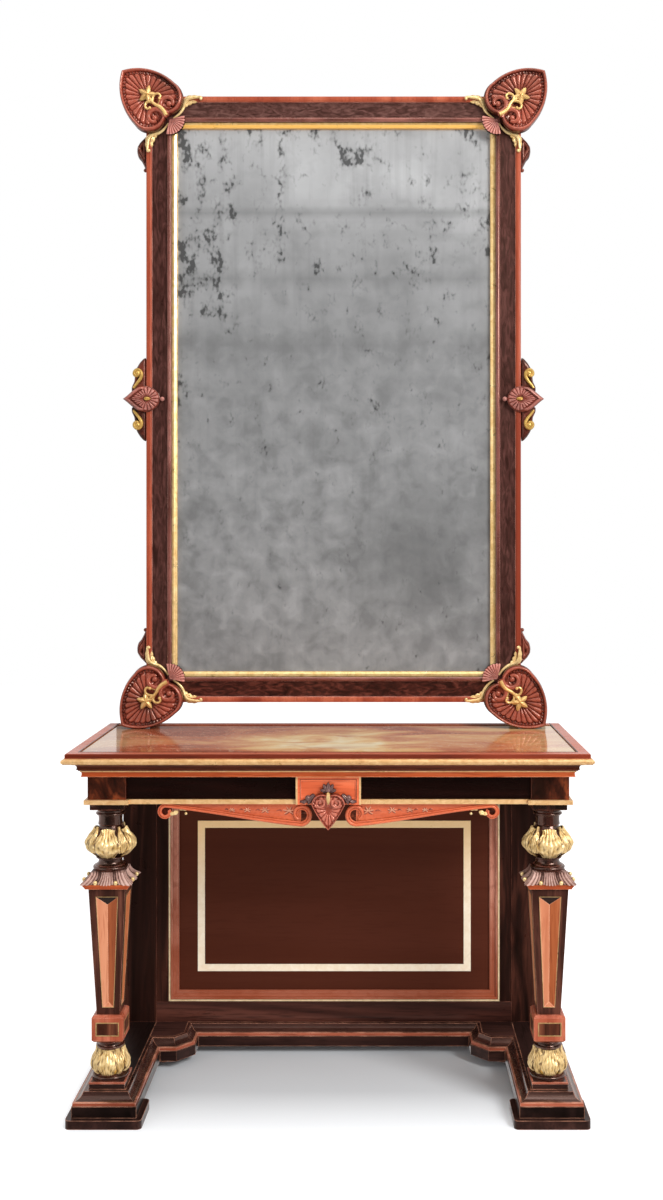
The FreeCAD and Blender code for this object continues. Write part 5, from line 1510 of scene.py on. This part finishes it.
back_leaf = carved_disc(leaf_loop, (20, 62), outward(0.05, 0.95, 14, 0.98), leaf_height)
curve = fine_line([(35, 31), (26, 43), (16, 55), (11, 67), (15, 79), (24, 83), (32, 77), (33, 68), (26, 63),
                   (21, 67)], 48)
scroll_radius = sizes_along(48, [0, 0.3, 0.7, 1], [3.6, 5.2, 4.8, 4.2])
scroll_parts = [tube(lifted(curve, np.linspace(14, 19, 48)), scroll_radius), ball((22.5, 72, 15), 8.5)]
at_edge = facing_front(frame_high.x, LEAF_BACK, middle)
above_and_below = [at_edge @ Matrix.Diagonal((1, way, 1, 1)) for way in (1, -1)]
backing = at_each(above_and_below, [back_leaf])
gilt_side = at_each(above_and_below, scroll_parts)
gilt_side.append(leaf_blade([(4, 0), (-5, 0), (-15, 0)], width=5.5, thick=6, lift=11).moved(at_palmette))
piece("side_palmette_shells", both(red_side), palmette_carved, "redwood", "side_palmettes")
piece("side_palmette_backs", both(backing), scroll_carved, "redwood")
piece("side_palmette_gilding", both(gilt_side), gilt_old, "gilt")

# %% [markdown]
# ## Heart
# A small shell hangs point down from the middle of the frieze. Dark polished leaves crown it and reach out to
# both sides, and a gilt drop lies in its cleft. It is the shell form again, so only the leaves are new.

# %% heart
HEART_LENGTH, HEART_BACK = 84, -210
heart_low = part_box("heart_cartouche")[0] / MM
heart, heart_volutes = shell(length=HEART_LENGTH, half=42, shoulder=20, lobe=14, flank=3, focus=36, flutes=16,
                             rim=5.0, depth=18, eye=(17, 21), curl=(12.5, 3.5, 230, 640))
down = facing_front(0, HEART_BACK, heart_low.z + HEART_LENGTH, -90)
piece("heart_carving", at_each([down], [heart] + heart_volutes), heart_carved, "redwood", "heart_cartouche")
crest = [leaf_blade([(-8, 0), (-20, 0), (-33, 0)], width=6.5, thick=7, lift=6), ball((-14, 0, 10), 6.0)]
for way in (1, -1):
    crest += [
        leaf_blade([(-10, 2 * way), (-20, 8 * way), (-29, 12 * way)], width=5.5, thick=6, lift=5),
        leaf_blade([(-9, 4 * way), (-13, 12 * way), (-14, 20 * way)], width=5.5, thick=6, lift=4),
        ball((6, 50 * way, 3), 7.5),
        leaf_blade([(-4, 34 * way), (8, 44 * way), (22, 50 * way)], width=6.5, thick=6, lift=2),
        leaf_blade([(10, 52 * way), (16, 60 * way), (14, 70 * way)], width=5.0, thick=5, lift=1)]
piece("heart_crest", at_each([down], crest), dark_polish, "redwood")
gilt_drop = leaf_blade([(-11, 0), (4, 0), (20, 0)], width=5.5, thick=7, lift=13)
piece("heart_drop", [gilt_drop.moved(down)], gilt_carved, "gilt")

# %% [markdown]
# ## Centre block
# The red block behind the heart has gilt lines along its sides and head, and a fine dark outline within them.
# Lines could be painted on, but thin raised strips keep their edges in a close view.

# %% lines on the centre block
block_low, block_high = (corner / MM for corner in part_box("centre_block"))
left_edge = [(block_low.x, block_low.y, block_high.z), (block_low.x, block_low.y, block_low.z)]
right_edge = [(block_high.x, block_low.y, block_low.z), (block_high.x, block_low.y, block_high.z)]
head_edge = [(block_high.x, block_low.y, block_high.z), (block_low.x, block_low.y, block_high.z)]
side_line, head_line = bar(-0.5, 4.7, -0.5, 0.9), bar(0, 2.6, -0.5, 0.7)
gilt_lines = [moulding(left_edge, side_line, FRONT), moulding(right_edge, side_line, FRONT),
              moulding(head_edge, head_line, FRONT)]
piece("centre_block_lines", gilt_lines, gilt_plain, "gilt")
sunk = upright_loop(block_high.x - 10, block_low.z + 4, block_high.z - 7, block_low.y)
piece("centre_block_outline", [moulding(sunk, bar(0, 1.3, -0.5, 0.4), FRONT, True)], scroll_carved, "redwood")

# %% [markdown]
# ## Aprons
# Beside the heart hang two long scrolled aprons. An apron is a thin field with a double bead along its lower
# edge, and the beads roll into a volute at each end. So its line is drawn first: a spiral, a long bow and
# another spiral.

# %% line of the aprons
apron_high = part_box("scroll_apron_right")[1] / MM
APRON_FACE, FIELD_FACE, FIELD_BACK = -200.0, -7.0, -22.0
top_level = apron_high.z
inner_eye, outer_eye = (68.0, top_level - 27.0), (apron_high.x - 21, top_level - 21)
roll_in = spiral(inner_eye, 12, 24.5, -420, -90, 56)
roll_out = spiral(outer_eye, 15.5, 9.5, 90, -210, 46)
start, end = roll_in[-1], roll_out[0]
way = np.linspace(0, 1, 48)[1:-1, None]
weights = ((1 - way) ** 3, 3 * way * (1 - way) ** 2, 3 * way ** 2 * (1 - way), way ** 3)
handles = [start, start + (90, 8), end - (110, 12), end]
bow = sum(weight * np.array(handle) for weight, handle in zip(weights, handles))
s_line = np.vstack([roll_in, bow, roll_out])
heading = np.gradient(s_line, axis=0)
heading /= np.linalg.norm(heading, axis=1)[:, None]
aside = np.stack([-heading[:, 1], heading[:, 0]], 1)
print("apron line:", len(s_line), "points")

# %% beads, field and eyes of the aprons
ease = sizes_along(len(s_line), [0, 0.12, 0.35, 0.6, 0.8, 1], [0.8, 1.1, 1.1, 0.85, 0.9, 0.75])[:, None]
beads = [tube(lifted(s_line - aside * 1.6 * ease, -4), 4.0 * ease[:, 0], 12),
         tube(lifted(s_line + aside * 4.4 * ease, -4.6), 2.2 * ease[:, 0])]
lower_line = np.vstack([start, bow, end])
lower_edge = lower_line[:, 1:]
level = lower_edge + (np.maximum(top_level, lower_edge + 1) - lower_edge) * np.linspace(0, 1, 5)
column = np.repeat(lower_line[:, :1], 5, 1)
front, back = (np.stack([column, level, np.full(level.shape, depth)], 2)
               for depth in (FIELD_FACE, FIELD_BACK))
# The field's lowest row, along the bead, is marked low, so it gets painted shade.
field = slab(front, back, np.tile([0.05, 0.6, 0.75, 0.75, 0.75], (len(lower_line), 1)))


# The eyes are marked low, so they get painted shade.
def eye_height(step, around, flat):
    return -12 + 0 * step + 0 * around, 0.02 + 0.3 * smooth((step - 0.75) / 0.25) + 0 * around


discs = []
for centre, size in ((inner_eye, 22.0), (outer_eye, 14.0)):
    loop = spiral(centre, size, size, 0, 360, 49)[:-1]
    discs.append(carved_disc(loop, centre, np.linspace(0.1, 1, 6), eye_height, FIELD_BACK))


def apron_pair(patches):
    """Patches set on the right apron, and mirrored on the left."""
    return both(at_each([facing_front(0, APRON_FACE, 0)], patches))


piece("apron_carving", apron_pair(beads + [field] + discs), redwood_apron, "redwood", "scroll_apron_left",
      "scroll_apron_right")

# %% [markdown]
# Flowers are cut into the field, smaller towards the outer end. Real cuts show a shaded side and a lit edge,
# and at this size thin dark petals of painted shade with a fine blade of painted highlight beside each look the
# same. A gilt sprig hangs at the outer volute.

# %% flowers and sprigs of the aprons
PETAL_LIFT, EDGE_LIFT = -7.2, -6.6
COARSE = {"rows": 8, "columns": 5}
petals, glints = [], []
for x, size in ((97, 16), (157, 12), (201, 10), (239, 9)):
    level = top_level - 14 - 0.4 * size
    for angle in range(-40, 221, 52):
        c, s = math.cos(math.radians(angle)), math.sin(math.radians(angle))
        flat = np.array([(x, level), (x + 0.5 * size * c, level + 0.42 * size * s),
                         (x + size * c, level + 0.78 * size * s)])
        petals.append(leaf_blade(flat, 0.17 * size, 1.0, PETAL_LIFT, **COARSE))
        glints.append(leaf_blade(flat + (0.07 * size, 0.1 * size), 0.08 * size, 1.0, EDGE_LIFT, **COARSE))
    stalk = [(x + 1.1 * size, level), (x + 1.5 * size, level + 4), (x + 2.1 * size, level + 1)]
    petals.append(leaf_blade(stalk, 1.7, 0.8, PETAL_LIFT, **COARSE))
piece("apron_flowers", apron_pair(petals), redwood_carved, "redwood")
piece("apron_flower_highlights", apron_pair(glints), salmon_painted_lit, "redwood")
sprig = [leaf_blade([(372, 762), (384, 757), (396, 756)], width=6.5, thick=5, lift=-6, lobes=2),
         ball((353, 757, -4), 3.4),
         leaf_blade([(370, 766), (360, 768), (352, 764)], width=3.0, thick=3, lift=-6)]
piece("apron_gilt_sprigs", apron_pair(sprig), gilt_carved, "gilt", "apron_sprigs")

# %% [markdown]
# ## Floor
# The photo has a white background and a soft grey shadow. A white floor under strong lamps would glare, so
# the floor is a pale diffuse sheet that the camera sees as white, except near the table, where it keeps the
# shadow.

# %% floor
def sheet(name, corners_of_sheet):
    surface = bpy.data.meshes.new(name)
    surface.from_pydata(corners_of_sheet, [], [[0, 1, 2, 3]])
    made = into_scene(name, surface)
    return made


FLOOR_HALF = 9
floor = sheet("floor", flat_square(FLOOR_HALF, 0))
floor.visible_glossy = False
pale, tree, shader = new_finish("pale_floor")
floor.data.materials.append(pale)
place = object_place(tree)
parts = axes(tree, place)
past_side = maths(tree, "SUBTRACT", maths(tree, "ABSOLUTE", parts[0]), cad_box[1].x)
past_front = maths(tree, "SUBTRACT", times(tree, parts[1], -1.0), cad_box[1].y)
away = most(tree, fit(tree, past_side, -0.06, 0.03), fit(tree, past_front, -0.22, 0.3))
away = most(tree, away, fit(tree, parts[1], 0.6, 1.2))
seen = add(tree, "LightPath").outputs["Is Camera Ray"]
white = times(tree, times(tree, away, 0.85), seen)
feed(tree, shader, {
    "Base Color": mix(tree, noise(tree, place, 3.0), tone(210, 213, 216), tone(214, 217, 220)),
    "Emission Color": mix(tree, white, (0.0, 0.0, 0.0, 1.0), (1.0, 1.0, 1.0, 1.0))})
settle(shader, {"Specular IOR Level": 0.0, "Roughness": 1.0, "Emission Strength": 1.0})
print("floor laid")

# %% [markdown]
# ## Cards
# Polished fronts and the mirror show the room behind the camera, and the stone shows the wall behind the
# table. Both are grey cards that only reflections see. A black card closes the low gap under the back, so
# that no light leaks through it onto the floor.

# %% cards
ONLY_REFLECTED = ("camera", "diffuse", "shadow", "transmission")
ONLY_SHADING = ("camera", "glossy", "transmission")


def card(name, left, right, depth, foot, head, level, unseen_by):
    """An upright grey card that some kinds of rays pass by."""
    made = sheet(name, [(left, depth, foot), (right, depth, foot), (right, depth, head), (left, depth, head)])
    finish = bpy.data.materials.new(name)
    finish.use_nodes = True
    finish.node_tree.nodes.clear()
    glow = add(finish.node_tree, "Emission", {"Color": (level, level, level, 1.0)})
    add(finish.node_tree, "OutputMaterial", {0: glow.outputs[0]})
    made.data.materials.append(finish)
    for kind in unseen_by:
        setattr(made, "visible_" + kind, False)
    print(name, "in place")


card("room_card", -6, 6, depth=-5.2, foot=-4, head=6, level=0.1, unseen_by=ONLY_REFLECTED)
card("wall_card", -0.65, 0.62, depth=0.4, foot=0, head=3.4, level=0.22, unseen_by=ONLY_REFLECTED)
card("gap_card", -0.6, 0.6, depth=0.28, foot=0, head=0.07, level=0.0, unseen_by=ONLY_SHADING)

# %% [markdown]
# ## Light
# The world is white where the camera, metal or glass sees it, and only a soft room light elsewhere. A large
# lamp from the upper right gives the gilt slopes their bright left side. Weaker ones fill from the left, from
# above and low in front, where the photo shows light under the top.

# %% world and lamps
ROOM_LIGHT = 0.4
world = bpy.data.worlds.new("studio")
bpy.context.scene.world = world
world.use_nodes = True
tree = world.node_tree
background = tree.nodes["Background"]
path = add(tree, "LightPath").outputs
seen = most(tree, path["Is Camera Ray"], most(tree, path["Is Glossy Ray"], path["Is Transmission Ray"]))
feed(tree, background, {"Strength": fit(tree, seen, 0.0, 1.0, ROOM_LIGHT, 1.0)})
settle(background, {"Color": (1.0, 1.0, 1.0, 1.0)})


def lamp(name, at, aim, size, power):
    light = bpy.data.lights.new(name, "AREA")
    light.size = size
    light.energy = power
    made = into_scene(name, light)
    made.location = at
    aim_at = Matrix.Translation(aim).translation - made.location
    made.rotation_euler = aim_at.to_track_quat("-Z", "Y").to_euler()
    return made


lamp("key", at=(2.9, -3.2, 3.6), aim=(0, 0, 1.2), size=1.8, power=225)
lamp("fill", at=(-3.2, -3.4, 2.4), aim=(0, 0, 1.1), size=2.2, power=26)
lamp("overhead", at=(0.2, -1.2, 5.0), aim=(0, 0, 0.5), size=2.4, power=50)
lamp("low_front", at=(0.1, -3.6, 0.5), aim=(0, 0, 0.6), size=1.8, power=45).visible_glossy = False
print("lamps:", [light.name for light in bpy.data.lights])
